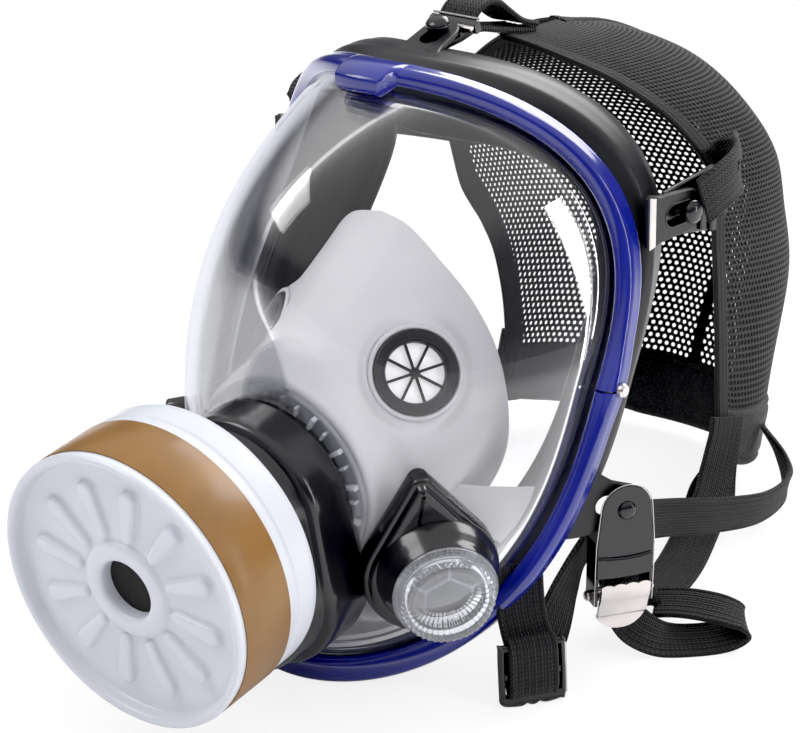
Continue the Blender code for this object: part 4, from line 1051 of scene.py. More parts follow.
def build_cup():
    steps = np.concatenate([np.linspace(0, 0.3, 16), np.linspace(0.325, 0.97, 28), [0.99, 1.0]])
    outer = [bell_row(*lip) for lip in BELL_LIP] + [cup_row(w, 0.0) for w in steps]
    inner = [cup_row(w, CUP_T if w < 0.97 else 1.2) for w in steps[::-1]]
    inner.append(bell_row(37.6, 94.0))
    points = np.concatenate(outer + inner)
    wall = np.where(np.arange(len(points)) >= len(outer) * N_CUP, CUP_T, 0)
    # a round land for each valve, flat outside and one wall further in on the inside
    for side, _ in SIDES:
        frame = valve_frame(side)
        radius, height = frame.polar(points)
        share = np.where(np.abs(height) < 16, 1 / (1 + np.exp(radius - 20.5)), 0)
        points = points + frame.axes[:, 2] * (share * (-0.6 - height - wall))[:, None]
    quads = grid_faces(len(outer + inner), N_CUP, True, True)
    if inside_out(points, quads):
        quads = quads[:, ::-1]
    mid = points[quads].mean(1)
    keep = np.ones(len(quads), bool)
    for side, _ in SIDES:
        radius, height = valve_frame(side).polar(mid)
        keep &= ~((radius < 14.2) & (np.abs(height) < 16))
    make_object(
        "nose_cup_skin", points, quads[keep].tolist(), SILICONE,
        replaces="nose_cup", sharp=60,
    )


def cup_valve(side, tag):
    frame = valve_frame(side)
    Solid().lathe(frame, rounded(VALVE_LIP, 0.3, 3)).done(
        "cup_valve_lip_" + tag, SILICONE, "grey_silicone", sharp=60
    )
    seat = Solid().lathe(frame, rounded(VALVE_SEAT, 0.5, 3), 112)
    seat.lathe(frame, VALVE_HUB, 40)
    for k in range(8):
        spoke = frame.spoke(TAU * (k + 0.3) / 8)
        seat.prism(spoke, rectangle(1.5, -0.5, 11.2, 0.5), -2.6, -1.3, 0.2)
    seat.done(
        "cup_valve_seat_skin_" + tag, SATIN_BLACK, "black_plastic",
        replaces="cup_valve_seat_" + tag,
    )


def cup_web(side, tag):
    """The thin web between the cup's lower cheek and the collar."""
    share = np.linspace(0, 1, 26)[None, :, None]
    inner, outer = spline(WEB_INNER, 40)[:, None], spline(WEB_OUTER, 40)[:, None]
    web = inner * (1 - share) + outer * share
    web[..., 2] -= 1.28 * np.sin(math.pi * share[..., 0])
    under = web + (0.0, 0.49, -0.7)
    closed = np.concatenate([web, under[:, ::-1]], axis=1) * (side, 1, 1)
    Solid().grid(closed, caps=True).done(
        "nose_cup_web_" + tag, SILICONE, "grey_silicone", sharp=50
    )


# ---------------------------------------------------------------- ribbons
def ribbon(name, path, across, normal, half_width, height, paint, sharp, replaces=None):
    """A closed band along a path, with millimetre UVs.

    height is the half thickness at equal steps from edge to edge.
    """
    step = np.linspace(-1, 1, len(height))
    upper, lower = np.column_stack([step, height]), np.column_stack([step, -height])[::-1]
    section = np.concatenate([upper, lower[1:-1]])
    reach = np.multiply.outer(np.broadcast_to(half_width, len(path)), section[:, 0])
    points = path[:, None] + across[:, None] * reach[..., None]
    points = points + normal[:, None] * section[None, :, 1:2]
    run = np.broadcast_to(run_along(path)[:, None], reach.shape)
    uv = np.stack([run, reach], axis=-1)
    solid = Solid().grid(points, caps=True)
    solid.done(name, paint, "black_webbing", replaces=replaces, uv=uv, sharp=sharp)


def strap(name, path, across, width, side=1, n=150, ribs=7, replaces=None):
    """Webbing with raised selvedges and shallow lengthwise ribs.

    across is the direction of its width, one for all or one for each point.
    """
    path = np.asarray(path, float)
    rows = np.hstack([path, np.broadcast_to(across, path.shape)])
    rows = spline(rows * ((side, 1, 1) * 2), n, slice(3))
    path = rows[:, :3]
    along = unit(np.gradient(path, axis=0))
    across = square_to(rows[:, 3:], along)
    step = np.linspace(-1, 1, 33)
    lift = 0.12 * np.cos(step * math.pi * ribs) + 0.35 * bell(np.abs(step), 0.9, 0.06)
    height = STRAP_T / 2 * np.sqrt(np.clip(1 - np.abs(step) ** 14, 0, 1))
    height = height + lift * (np.abs(step) < 0.995)
    normal = np.cross(along, across)
    ribbon(name, path, across, normal, width / 2, height, WEBBING, 50, replaces)


def tape(name, path, normals, width):
    """Fine binding tape, n rows long; width is one value or one for each row."""
    rows = spline(np.hstack([path, normals]), TAPE_ROWS, slice(3))
    path = rows[:, :3]
    along = unit(np.gradient(path, axis=0))
    normal = square_to(rows[:, 3:], along)
    step = np.linspace(-1, 1, 17)
    height = TAPE_T / 2 * np.sqrt(np.clip(1 - np.abs(step) ** 6, 0, 1))
    height = height + 0.08 * np.cos(step * math.pi * 3)
    half = np.asarray(width) / 2
    ribbon(name, path, np.cross(along, normal), normal, half, height, FINE_WEB, 60)


# ---------------------------------------------------------------- side straps
RIGHT_SETBACK = 24  # the net's edge sits this much further back on the wearer's right

# Tables of a strap's (point), (direction of its width), for the wearer's left
JAW_TAIL = [
    ((90.8, 176.8, -45.5), (0.45, 0.8, 0.1)), ((92.5, 178, -53.5), (0.4, 0.85, 0.1)),
    ((96, 181.5, -60), (0.3, 0.9, 0.2)), ((103, 188, -65.2), (0.0, 0.95, 0.3)),
    ((112, 197, -66.6), (-0.4, 0.85, 0.35)), ((120, 206, -66.0), (-0.6, 0.7, 0.35)),
    ((124.5, 211, -63.0), (-0.62, 0.7, 0.3)), ((124, 210.5, -59.2), (-0.6, 0.75, 0.3)),
    ((118, 208, -56.8), (-0.5, 0.8, 0.3)), ((109, 205.5, -56.2), (-0.4, 0.85, 0.3)),
    ((100, 203, -56.8), (-0.3, 0.9, 0.3)), ((92, 200, -58.2), (-0.3, 0.9, 0.3)),
]
# The same for straps that end at the net, with a last column: share of the setback
JAW_STRAP = [
    ((88.4, 179.5, -33), (0.6, 0.75, 0.0), 0), ((87.5, 186, -47), (0.7, 0.7, 0.0), 0),
    ((85, 199, -60), (0.8, 0.5, 0.0), 0), ((80, 222, -66.4), (0.95, 0.2, 0.0), 0),
    ((74, 250, -66.8), (0.95, 0.2, 0.0), 1 / 3), ((66, 280, -61), (0.8, 0.5, 0.2), 0.8),
    ((63.4, 296, -50), (0.3, 0.9, 0.2), 1), ((63.4, 302, -34), (0.1, 1.0, 0.1), 1),
]
NECK_STRAP = [
    ((80.2, 133, -61), (0.6, 0.8, 0), 0), ((80.8, 143, -50), (0.45, 0.8, -0.3), 0),
    ((80.4, 153, -37), (0.1, 0.75, -0.6), 0), ((79.5, 165, -27), (-0.2, 0.4, -0.9), 0),
    ((79.2, 178, -24), (-0.1, 0, -1), 0), ((80.5, 196, -26), (0, 0, -1), 0),
    ((83, 222, -33), (-0.1, 0, -1), 0), ((89, 250, -41), (-0.2, 0, -1), 0),
    ((93, 280, -48), (-0.3, 0.1, -1), 0), ((90, 306, -50.5), (-0.3, 0.2, -1), 0),
    ((81, 322, -49), (-0.2, 0.4, -0.9), 0), ((71, 330, -43), (-0.1, 0.6, -0.7), 1 / 3),
    ((65.0, 330, -36), (-0.1, 0.7, -0.6), 1 / 3),
]
NAPE_WEBBING = [
    ((64.4, 300, -22), (0.1, 1, 0.1), 1.3), ((65.0, 297, -32), (0.1, 1, 0.1), 1.3),
    ((66.2, 291, -42), (0.1, 1, 0.1), 1.25), ((67.6, 285, -50), (0.1, 1, 0.1), 1.15),
    ((68.0, 279, -56), (0.1, 1, 0.1), 1),
]
# Plain paths
CHIN_STRAP = [
    (82.6, 127.2, -62), (82.9, 126.4, -54.5), (82.0, 127.2, -47.0), (79.8, 128.0, -42.2),
    (77.0, 129.4, -36.0), (74.2, 132.0, -29.0), (72.0, 134.5, -21.0),
]
TEMPLE_STRAP = [
    (92.6, 229, 98.8), (93.4, 236, 98.2), (88, 247, 96.4), (78, 261, 93.4), (68, 274, 90),
    (62.5, 284, 87), (60.6, 295, 84),
]
TEMPLE_LOOP = [
    (95.6, 216, 101), (97.4, 222, 104), (97.8, 232, 106.5), (95.0, 242, 107.6),
    (89.0, 247, 106.0), (84.0, 246, 102.6),
]
TEMPLE_TAIL = [(97, 236, 106), (90.5, 249, 105), (81, 264, 104), (73, 277, 103)]


def to_net(table, side):
    """Path and width directions of a strap, set back on the wearer's right."""
    setback = 0 if side > 0 else RIGHT_SETBACK
    path = [(x, y + setback * share, z) for (x, y, z), _, share in table]
    return path, [across for _, across, _ in table]


def side_straps(side, tag):
    strap(
        "jaw_strap_skin_" + tag, *to_net(JAW_STRAP, side), width=20.0, side=side,
        replaces="jaw_strap_" + tag,
    )
    strap(
        "jaw_strap_tail_skin_" + tag, *zip(*JAW_TAIL), width=16.0, side=side,
        replaces="jaw_strap_tail_" + tag,
    )
    strap(
        "neck_strap_skin_" + tag, *to_net(NECK_STRAP, side), width=17.0, side=side, n=260,
        replaces="neck_strap_" + tag,
    )
    strap(
        "chin_strap_skin_" + tag, CHIN_STRAP, (0.6, 0.8, 0), width=19.0, side=side,
        replaces="chin_strap_" + tag,
    )
    strap(
        "nape_webbing_" + tag, *to_net(NAPE_WEBBING, side), width=22.0, side=side, n=90, ribs=11
    )
    strap(
        "temple_strap_skin_" + tag, TEMPLE_STRAP, (0.1, 0.0, 1), width=18.0, side=side,
        replaces="temple_strap_" + tag,
    )
    strap("temple_strap_loop_" + tag, TEMPLE_LOOP, (0.05, -0.28, 1), width=22.0, side=side)
    strap("temple_strap_tail_" + tag, TEMPLE_TAIL, (0.1, 0.1, 1), width=12.0, side=side)


# ---------------------------------------------------------------- tabs and buckles
# Ball studs, as (radius, height)
TEMPLE_STUD = [
    (0, -2.2), (2.4, -2.2), (2.4, 1.8), (3.5, 2.5), (4.3, 3.4), (4.6, 4.4), (4.35, 5.4),
    (3.6, 6.2), (2.5, 6.7), (1.2, 6.95), (0, 7.0),
]
TOP_STUD = [
    (0, -2.2), (2.3, -2.2), (2.3, 1.8), (3.4, 2.4), (4.3, 3.3), (4.7, 4.5), (4.5, 5.6),
    (3.7, 6.5), (2.5, 7.1), (1.2, 7.35), (0, 7.4),
]
JAW_STUD = [
    (0, -5.0), (2.0, -5.0), (3.4, -4.4), (3.6, -3.0), (2.2, -2.4), (2.2, 2.6), (3.8, 2.6),
    (3.8, 5.0), (3.5, 5.9), (2.6, 6.6), (1.3, 7.0), (0, 7.1),
]
# Jaw tab edges from its root to its tip at -y, and back at +y
JAW_TAB_LOW = [(-9.0, -14.6), (-3.0, -13.6), (1.0, -12.4), (6.0, -9.8), (12.0, -9.1)]
JAW_TAB_HIGH = [(12.0, 9.1), (6.0, 9.8), (1.0, 12.0), (-3.0, 13.0), (-9.0, 13.6)]
JAW_AT = np.array((92.7, 171.4, -5.2))
JAW_FACING, JAW_ALONG = unit((0.82, -0.57, 0.0)), unit((0.56, 0.80, -0.2))
LEVER_DROP = -35.6  # the lever's axle below the jaw stud
JAW_PLATE = [
    (-11.3, -13.5), (-11.3, -25.0), (-10.9, -27.0), (-5.0, -27.5), (5.0, -27.5),
    (10.9, -27.0), (11.3, -25.0), (11.3, -13.5),
]
JAW_ROLL = [(-10.3, -18.6, 5.3), (-6, -19.3, 5.5), (0, -19.6, 5.6), (6, -19.3, 5.5),
            (10.3, -18.6, 5.3)]
JAW_LIP = [(-11.6, -38.4, 4.5), (-11.7, -26, 4.6), (-11.6, -14.0, 4.7)]
AXLE_END = [(0.0, 11.4), (1.9, 11.4), (2.0, 13.0), (1.4, 13.8), (0.0, 13.9)]
AXLE_SLEEVE = [(1.3, -9.2), (2.7, -9.2), (2.7, 9.2), (1.3, 9.2)]
# The lever's middle line from its axle: y, z, half width
LEVER = [
    (5.6, 6.2, 9.8), (3.6, 6.4, 9.8), (0.8, 5.9, 9.8), (-1.4, 5.0, 9.8), (-3.6, 4.3, 9.8),
    (-5.8, 3.8, 9.8), (-7.4, 3.4, 9.8), (-8.1, 2.2, 9.7), (-9.4, 1.9, 9.3), (-10.8, 1.9, 8.3),
    (-12.2, 2.0, 6.6), (-13.4, 2.1, 4.4), (-14.0, 2.1, 1.6),
]
LEVER_HALF_T = 0.65
NECK_LOOP = [
    (-11.6, -10.0), (-11.6, 10.0), (-10.4, 11.2), (10.4, 11.2), (11.6, 10.0), (11.6, -10.0),
    (10.4, -11.2), (5, -11.9), (2.5, -11.0), (0, -12.0), (-2.5, -11.0), (-5, -11.9),
    (-10.4, -11.2),
]
NECK_WRAP = [
    (0, 14.0, 0.6), (0, 11.0, 3.6), (0, 6.0, 4.3), (0, 0, 4.5), (0, -5.0, 4.2), (0, -8.2, 2.6),
    (0, -8.6, 0.2), (0, -5, -1.4),
]
TOP_STRAP = [
    (0, 193.0, 156.4), (0, 194.6, 160.0), (0, 199, 163.4), (0, 205, 164.6), (0, 211, 163.2),
    (0, 218, 158.6), (0, 227, 153.0), (0, 237, 149.8),
]
TOP_UNDER = [
    (0, 195.5, 155.6), (0, 202, 155.0), (0, 212, 152.4), (0, 222, 150.2), (0, 236, 147.6),
]


def arc(radius, start, end, n):
    return [(radius * math.cos(a), radius * math.sin(a)) for a in np.linspace(start, end, n)]


def rubber_tab(name, replaces, frame, low, high, tip, hole, bevel=0.5):
    """A tab with a round tip, given as (x, radius), and a keyhole."""
    x, radius = tip
    ends = np.linspace(0.1, math.pi - 0.1, 22)
    end = [(x + radius * math.sin(a), -radius * math.cos(a)) for a in ends]
    solid = Solid().prism(frame, low + end + high, 0.0, TAB_T, bevel, hole)
    solid.done(name, RUBBER, "black_rubber", replaces=replaces, sharp=40)


def temple_tab(side, tag):
    """Temple tab with its bright fold, and the strap-end plate, slide and ball stud."""
    frame = Frame.along((85.2, 195.4, 97.0), (0.2, 0.98, 0.03), (1, -0.2, 0.0)).on_side(side)
    edges = symmetric([(-2.6, -10.4), (-0.6, -10.4), (0.6, -9.3), (17.5, -8.3)])
    hole = two_circles((10.75, 0), 4.3, (18.75, 0), 4.0, 20, 20)
    rubber_tab(
        "temple_tab_skin_" + tag, "temple_tab_" + tag, frame, edges[:4], edges[4:],
        (18.75, 8.25), hole, bevel=0.45,
    )
    rim = frame.ring(np.concatenate([hole, hole[:1]]), 2.2)
    Solid().tube(rim, 0.4).done("temple_tab_lip_" + tag, BLACK, "black_rubber", sharp=60)
    Solid().prism(frame, symmetric([(-2.4, -10.0), (0.9, -9.2)]), 2.2, 3.0, 0.35).done(
        "temple_tab_fold_" + tag, NICKEL, "nickel_steel", sharp=40
    )
    plate = symmetric([(9.0, -8.6), (20.0, -10.4), (35.2, -12.6), (36.0, -11.8)])
    end = Solid().prism(frame, plate, -2.7, -0.5, 0.5)
    end.prism(frame, symmetric([(27.4, -10.3), (30.6, -11.4)]), -0.7, 1.0, 0.5)
    end.prism(frame, symmetric([(32.6, -12.0), (36.2, -12.4)]), -2.9, 1.2, 0.6)
    end.lathe(frame.shifted((18.9, 0, 0)), TEMPLE_STUD, 48)
    end.done(
        "temple_strap_end_skin_" + tag, BLACK, "black_plastic",
        replaces="temple_strap_end_" + tag, sharp=40,
    )


def jaw_buckle(side, tag):
    """Jaw tab, the buckle's body with its roller and stud, and its bright edge."""
    tab = Frame.along(JAW_AT - JAW_ALONG * 13, JAW_ALONG, JAW_FACING).on_side(side)
    frame = Frame.facing(JAW_AT, JAW_FACING).on_side(side)
    rubber_tab(
        "jaw_tab_skin_" + tag, "jaw_tab_" + tag, tab, JAW_TAB_LOW, JAW_TAB_HIGH, (13, 9.0),
        two_circles((5.6, 0), 4.2, (13, 0), 3.4, 20, 20),
    )
    body = Solid().prism(frame, JAW_PLATE + arc(9.9, 0, math.pi, 30), 3.7, 5.1, 0.35)
    for s in (-1, 1):
        cheek = [(s * 10.1, -38.6), (s * 11.5, -38.6), (s * 11.5, -12.6), (s * 10.1, -14.6)]
        body.prism(frame, cheek[::s], -4.6, 4.4, 0.3)
    body.tube(frame.at(JAW_ROLL), 0.75, 10)
    body.prism(frame, rectangle(-10.4, -24.5, 10.4, -21.5), -4.4, -3.0, 0.4)
    body.lathe(frame, JAW_STUD, 40)
    body.done("jaw_buckle_skin_" + tag, BLACK, "black_steel", replaces="jaw_buckle_" + tag)

    over = [(x, y, 5.0) for x, y in arc(10.3, math.pi - 0.15, 0.15, 24)]
    lip = JAW_LIP + over + [(-x, y, z) for x, y, z in reversed(JAW_LIP)]
    edge = Solid().tube(frame.at(lip), 0.22)
    axle = frame.shifted((0, LEVER_DROP, 0)).about_x()
    edge.lathe(axle, rounded(AXLE_END, 0.2, 2), 24)
    edge.lathe(axle, rounded([(r, -z) for r, z in reversed(AXLE_END)], 0.2, 2), 24)
    edge.done("jaw_buckle_edge_" + tag, NICKEL, "nickel_steel", sharp=50)


def jaw_lever(side, tag):
    """Cam lever: scalloped grip at the top, ramp, and rounded thumb tongue."""
    frame = Frame.facing(JAW_AT, JAW_FACING).on_side(side).shifted((0, LEVER_DROP, 0))
    step = np.linspace(-1, 1, 45)
    rows = spline(LEVER, 46, slice(2))
    along = unit(np.gradient(rows[:, :2], axis=0))
    offset = np.stack([along[:, 1], -along[:, 0]], axis=1) * LEVER_HALF_T
    sections = []
    for k, ((y, z, half), (dy, dz)) in enumerate(zip(rows, offset)):
        grip = 0.7 * np.abs(np.sin((step + 1) * TAU)) * max(0.0, 1 - k / 5.0)
        upper = np.column_stack([step * half, y + dy + grip, np.full(45, z + dz)])
        lower = np.column_stack([step * half, y - dy + grip, np.full(45, z - dz)])[::-1]
        sections.append(frame.at(np.concatenate([upper, lower])))
    lever = Solid().grid(sections, caps=True)
    lever.lathe(frame.about_x(), rounded(AXLE_SLEEVE, 0.3, 2), 40)
    lever.done(
        "jaw_lever_skin_" + tag, NICKEL, "nickel_steel", "lever_" + tag, "jaw_lever_" + tag,
        sharp=40,
    )


def neck_buckle(side, tag):
    """Slide buckle: rounded frame with a middle bar, standing on its lower edge."""
    y = unit((-0.06, 0.0, 1))
    x = unit(np.cross(y, (0.8, -0.6, 0)))
    frame = Frame.of((84.0, 126.0, -57.2), x, y, np.cross(x, y)).on_side(side)
    loop = spline(NECK_LOOP + NECK_LOOP[:1], 140)
    buckle = Solid().tube(frame.ring(loop, 1.2), 1.25, 12)
    buckle.tube(frame.ring(loop * 0.985, 2.6), 0.8, 10)
    buckle.prism(frame, rectangle(-10.8, -1.6, 10.8, 1.6), 0.2, 2.8, 0.6)
    buckle.prism(frame, rectangle(-11.4, -11.4, 11.4, -7.8), 0.0, 3.2, 0.7)
    buckle.done(
        "neck_buckle_skin_" + tag, BLACK, "black_plastic", replaces="neck_buckle_" + tag,
        sharp=50,
    )
    edge = frame.at([(12.7, -10, 2.2), (12.8, 0, 2.4), (12.7, 10.6, 2.4)])
    Solid().tube(edge, 0.45).done("neck_buckle_edge_" + tag, NICKEL, "nickel_steel", sharp=50)
    # webbing wrapped over the slide's face
    strap("neck_buckle_wrap_" + tag, frame.at(NECK_WRAP), frame.axes[:, 0], width=19.0, n=90)


def top_tab():
    """Top tab, its stud and strap end, and the webbing that runs back from it."""
    frame = Frame.along((0, 170.5, 151.2), (0, 0.95, 0.31), (0, -0.31, 0.95))
    edges = symmetric([(-9.0, -10.5), (-2.0, -9.6), (4.0, -8.0), (13.0, -7.6)])
    rubber_tab(
        "top_tab_skin", "top_tab", frame, edges[:4], edges[4:], (13.5, 7.5),
        two_circles((7.5, 0), 3.9, (13.5, 0), 3.2, 20, 20),
    )
    plate = symmetric([(8.6, -5.5), (15.5, -8.4), (24.0, -10.0), (24.6, -9.4)])
    end = Solid().prism(frame, plate, -2.7, -0.5, 0.5)
    end.lathe(frame.shifted((13.6, 0, 0)), TOP_STUD, 48)
    end.prism(frame, symmetric([(21.6, -10.4), (24.8, -10.6)]), -2.9, 1.6, 0.6)
    end.done("top_strap_end_skin", BLACK, "black_plastic", replaces="top_strap_end", sharp=40)
    edge = Solid().prism(frame, symmetric([(19.6, -9.6), (21.4, -9.9)]), -0.6, 1.1, 0.4)
    edge.tube(frame.at([(25.2, -10.4, 1.8), (25.2, 10.4, 1.8)]), 0.5)
    edge.done("top_slide_edge", NICKEL, "nickel_steel", sharp=40)
    strap("top_strap_skin", TOP_STRAP, (1, 0, 0), width=17.0, replaces="top_strap")
    strap("top_strap_under", TOP_UNDER, (1, 0, 0), width=16.0)


# ---------------------------------------------------------------- head net
# Levels from the nape to the crown: half width, front y, back y, front z, back z
LEVELS = [
    (62, 302, 370, -36, -66.0), (62, 297, 388, -12, -36), (61, 293, 404, 30, 5),
    (60, 290, 401, 60, 38), (60, 287, 388, 86, 70), (52, 268, 365, 111, 97),
    (38, 248, 338, 129, 119), (22, 230, 303, 141, 135), (10, 219, 274, 147.5, 142),
    (1.0, 214, 258, 149.5, 146.0),
]
# The slanted front edge on the wearer's right: z, y
SLANT_Z = [-54, -30, -5, 10, 26, 49, 60]
SLANT_Y = [322, 325, 322, 318, 312, 297, 270]
LEVEL_COUNT, COLUMN_COUNT, REACH = 260, 341, 170.0
PITCH, THREAD, HOLE_R = 3.3, 1.1, 0.98
ROW_PITCH = PITCH * 0.866
TAPE_ROWS = 220
BAND_HEIGHT, BAND_BULGE = 30.0, 2.0

level_rows = spline(LEVELS, LEVEL_COUNT, slice(1, 4))
LEVEL_INDEX = np.arange(LEVEL_COUNT)
LEVEL_RUN = run_along(level_rows[:, [2, 4]])  # distance up the back


def level_curve(v, level):
    """One level from the wearer's left round the back; v is 0 at the nape, 1 at the crown."""
    half_width, front_y, back_y, front_z, back_z = level
    a = np.linspace(0, math.pi, 721)
    depth = np.sin(a) ** 0.8
    fall = np.sin(a) ** (0.35 + 0.45 * min(4 * v * 10 / 9, 1))
    x = half_width * signed_power(np.cos(a), 0.75)
    y = front_y + (back_y - front_y) * depth
    z = front_z + (back_z - front_z) * fall
    # gentle waves in the fabric
    bow = np.sin(a) ** 2
    x = x + 1.6 * np.sin(z * 0.07) * bow
    y = y + (2.2 * np.sin(a * 7 + v * 9) + 1.4 * np.sin(a * 13 - v * 15)) * bow * (1 - v) * 0.7
    curve = np.column_stack([x, y, z])
    # the wearer's right edge reaches forward above the temple
    forward = clamp((v - 0.25) / 0.2) * clamp((0.93 - v) / 0.2)
    tip = curve[-1:] + np.array([[0.6 * min(v, 0.6), -13.0, 4.0]]) * forward
    return np.concatenate([curve, tip])


def moving_mean(values, reach):
    n = 2 * reach + 1
    return np.convolve(np.pad(values, reach, mode="edge"), np.ones(n) / n, mode="valid")


def net_surface():
    """The net's points by level and column, and its reach left and right of the back."""
    table = np.zeros((LEVEL_COUNT, COLUMN_COUNT, 3))
    left, right = np.zeros(LEVEL_COUNT), np.zeros(LEVEL_COUNT)
    columns = np.linspace(-REACH, REACH, COLUMN_COUNT)
    middle = 360
    for k, level in enumerate(level_rows):
        curve = level_curve(k / (LEVEL_COUNT - 1), level)
        run = run_along(curve)
        mid_run = run[middle]
        left[k] = min(mid_run, REACH)
        slant = np.interp(curve[middle:, 2], SLANT_Z, SLANT_Y)
        past = np.nonzero(curve[middle:, 1] <= slant)[0]
        end = run[middle + past[0]] if len(past) else run[-1]
        right[k] = min(end - mid_run, REACH)
        at = np.clip(mid_run - columns, 0, run[-1])
        table[k] = np.stack([np.interp(at, run, c) for c in curve.T], axis=1)
    for _ in range(2):  # the trimmed edge runs smoothly
        right = np.minimum(right, moving_mean(right, 8))
    return table, left, moving_mean(right, 5)


NET_POINTS, NET_LEFT, NET_RIGHT = net_surface()


def net_at(s, t):
    """Points at s, the distance left of the back, and t, the level index."""
    column = np.clip((s + REACH) / (2 * REACH) * (COLUMN_COUNT - 1), 0, COLUMN_COUNT - 1.001)
    level = np.clip(t, 0, LEVEL_COUNT - 1.001)
    i, j = column.astype(int), level.astype(int)
    a, b = (column - i)[..., None], (level - j)[..., None]
    lower = NET_POINTS[j, i] * (1 - a) + NET_POINTS[j, i + 1] * a
    upper = NET_POINTS[j + 1, i] * (1 - a) + NET_POINTS[j + 1, i + 1] * a
    return lower * (1 - b) + upper * b


def net_normal(s, t):
    du = net_at(s + 1.2, t) - net_at(s - 1.2, t)
    dv = net_at(s, t + 1.2) - net_at(s, t - 1.2)
    n = unit(np.cross(du, dv))
    outwards = net_at(s, t) - np.array((0, 300, 30))
    return np.where((np.sum(n * outwards, axis=-1) < 0)[..., None], -n, n)


def build_net():
    """An open mesh: one rounded hexagonal cell round each hole."""
    across, upwards = [], []
    for r in range(1, int(LEVEL_RUN[-1] / ROW_PITCH)):
        height = r * ROW_PITCH
        level = np.interp(height, LEVEL_RUN, LEVEL_INDEX)
        left = np.interp(level, LEVEL_INDEX, NET_LEFT) - 1.4
        right = np.interp(level, LEVEL_INDEX, NET_RIGHT) - 1.4
        holes = np.arange(-60, 61) * PITCH + (PITCH / 2 if r % 2 else 0)
        holes = holes[(holes < left) & (holes > -right)]
        across.append(holes)
        upwards.append(np.full(len(holes), height))
    across, upwards = np.concatenate(across), np.concatenate(upwards)
    a = TAU * (np.arange(6) + 0.5) / 6
    corner = np.stack([np.cos(a), np.sin(a)], axis=1)
    outer, inner = corner * PITCH / math.sqrt(3), corner * HOLE_R
    middle = (outer + inner) / 2

    def layer(offset, lift):
        s = across[:, None] + offset[None, :, 0]
        t = np.interp(upwards[:, None] + offset[None, :, 1], LEVEL_RUN, LEVEL_INDEX)
        return net_at(s, t) + net_normal(s, t) * lift

    layers = np.stack([
        layer(outer, THREAD * 0.35), layer(middle, THREAD / 2), layer(inner, 0.0),
        layer(middle, -THREAD / 2), layer(outer, -THREAD * 0.35),
    ], axis=1)
    cell = np.roll(grid_faces(5, 6, wrap_v=True)[:, ::-1], 1, axis=1)
    faces = cell[None] + np.arange(len(across))[:, None, None] * 30
    make_object(
        "head_net_mesh", layers.reshape(-1, 3), faces.reshape(-1, 4).tolist(), NET,
        replaces="head_net",
    )


def net_tapes():
    """Bound front edges, and a seam down the back."""
    levels = np.linspace(0, LEVEL_COUNT - 6, 46)
    stations = [0, 0.55, 0.8, 1]
    widths = ([9.5, 8.5, 7.0, 6.0], [11.5, 11.5, 10.0, 7.0])
    for (side, tag), limits, width in zip(SIDES, (NET_LEFT, NET_RIGHT), widths):
        limit = np.interp(levels, LEVEL_INDEX, limits)
        path = net_at(side * (limit - 2.2), levels)
        normals = net_normal(side * (limit - 3.0), levels)
        width = np.interp(np.linspace(0, 1, TAPE_ROWS), stations, width)
        tape("net_tape_" + tag, path, normals, width)
    levels, middle = np.linspace(8, LEVEL_COUNT - 4, 40), np.zeros(40)
    tape("net_back_seam", net_at(middle, levels), net_normal(middle, levels), 5.0)


def nape_band():
    """Padded fabric along the net's lower edge: a closed, stitched sheet."""
    columns, rows = 240, 30
    low, high = 0.5, float(np.interp(BAND_HEIGHT, LEVEL_RUN, LEVEL_INDEX))
    left = np.interp((low + high) / 2, LEVEL_INDEX, NET_LEFT)
    right = np.interp((low + high) / 2, LEVEL_INDEX, NET_RIGHT)
    s = np.linspace(-right, left, columns)[:, None] * np.ones(rows)
    v = np.linspace(0, 1, rows)[None] * np.ones((columns, 1))
    t = low + (high - low) * v
    profile = np.sqrt(np.clip(1 - (2 * v - 1) ** 6, 0, 1))
    stitch = 1 - 0.45 * (bell(v, 0.13, 0.03) + bell(v, 0.87, 0.03))
    puff = 1 + 0.12 * np.sin(s * 0.11) * np.sin(v * 5 + s * 0.05)
    puff = puff + 0.05 * np.sin(s * 0.43 + v * 7)
    middle = net_at(s, t)
    lift = net_normal(s, t) * (BAND_BULGE * profile * stitch * puff)[..., None]
    loop = np.concatenate([middle + lift, (middle - lift)[:, ::-1][:, 1:-1]], axis=1)
    height = np.concatenate([v, v[:, ::-1][:, 1:-1]], axis=1) * 30
    uv = np.stack([np.broadcast_to(s[:, :1], height.shape), height], axis=-1)
    solid = Solid().grid(loop, caps=True)
    solid.done("nape_band", FLEECE, "black_mesh", uv=uv, sharp=70)


# ---------------------------------------------------------------- all the pieces, in order
build_lens()
build_hoop()
build_seal()
build_port()
build_nut()
build_canister()
for side, tag in SIDES:
    exhale_housing(side, tag)
    exhale_cap(side, tag)
build_cup()
for side, tag in SIDES:
    cup_valve(side, tag)
for side, tag in SIDES:
    cup_web(side, tag)
for side, tag in SIDES:
    side_straps(side, tag)
    temple_tab(side, tag)
    jaw_buckle(side, tag)
    jaw_lever(side, tag)
    neck_buckle(side, tag)
top_tab()
build_net()
net_tapes()
nape_band()

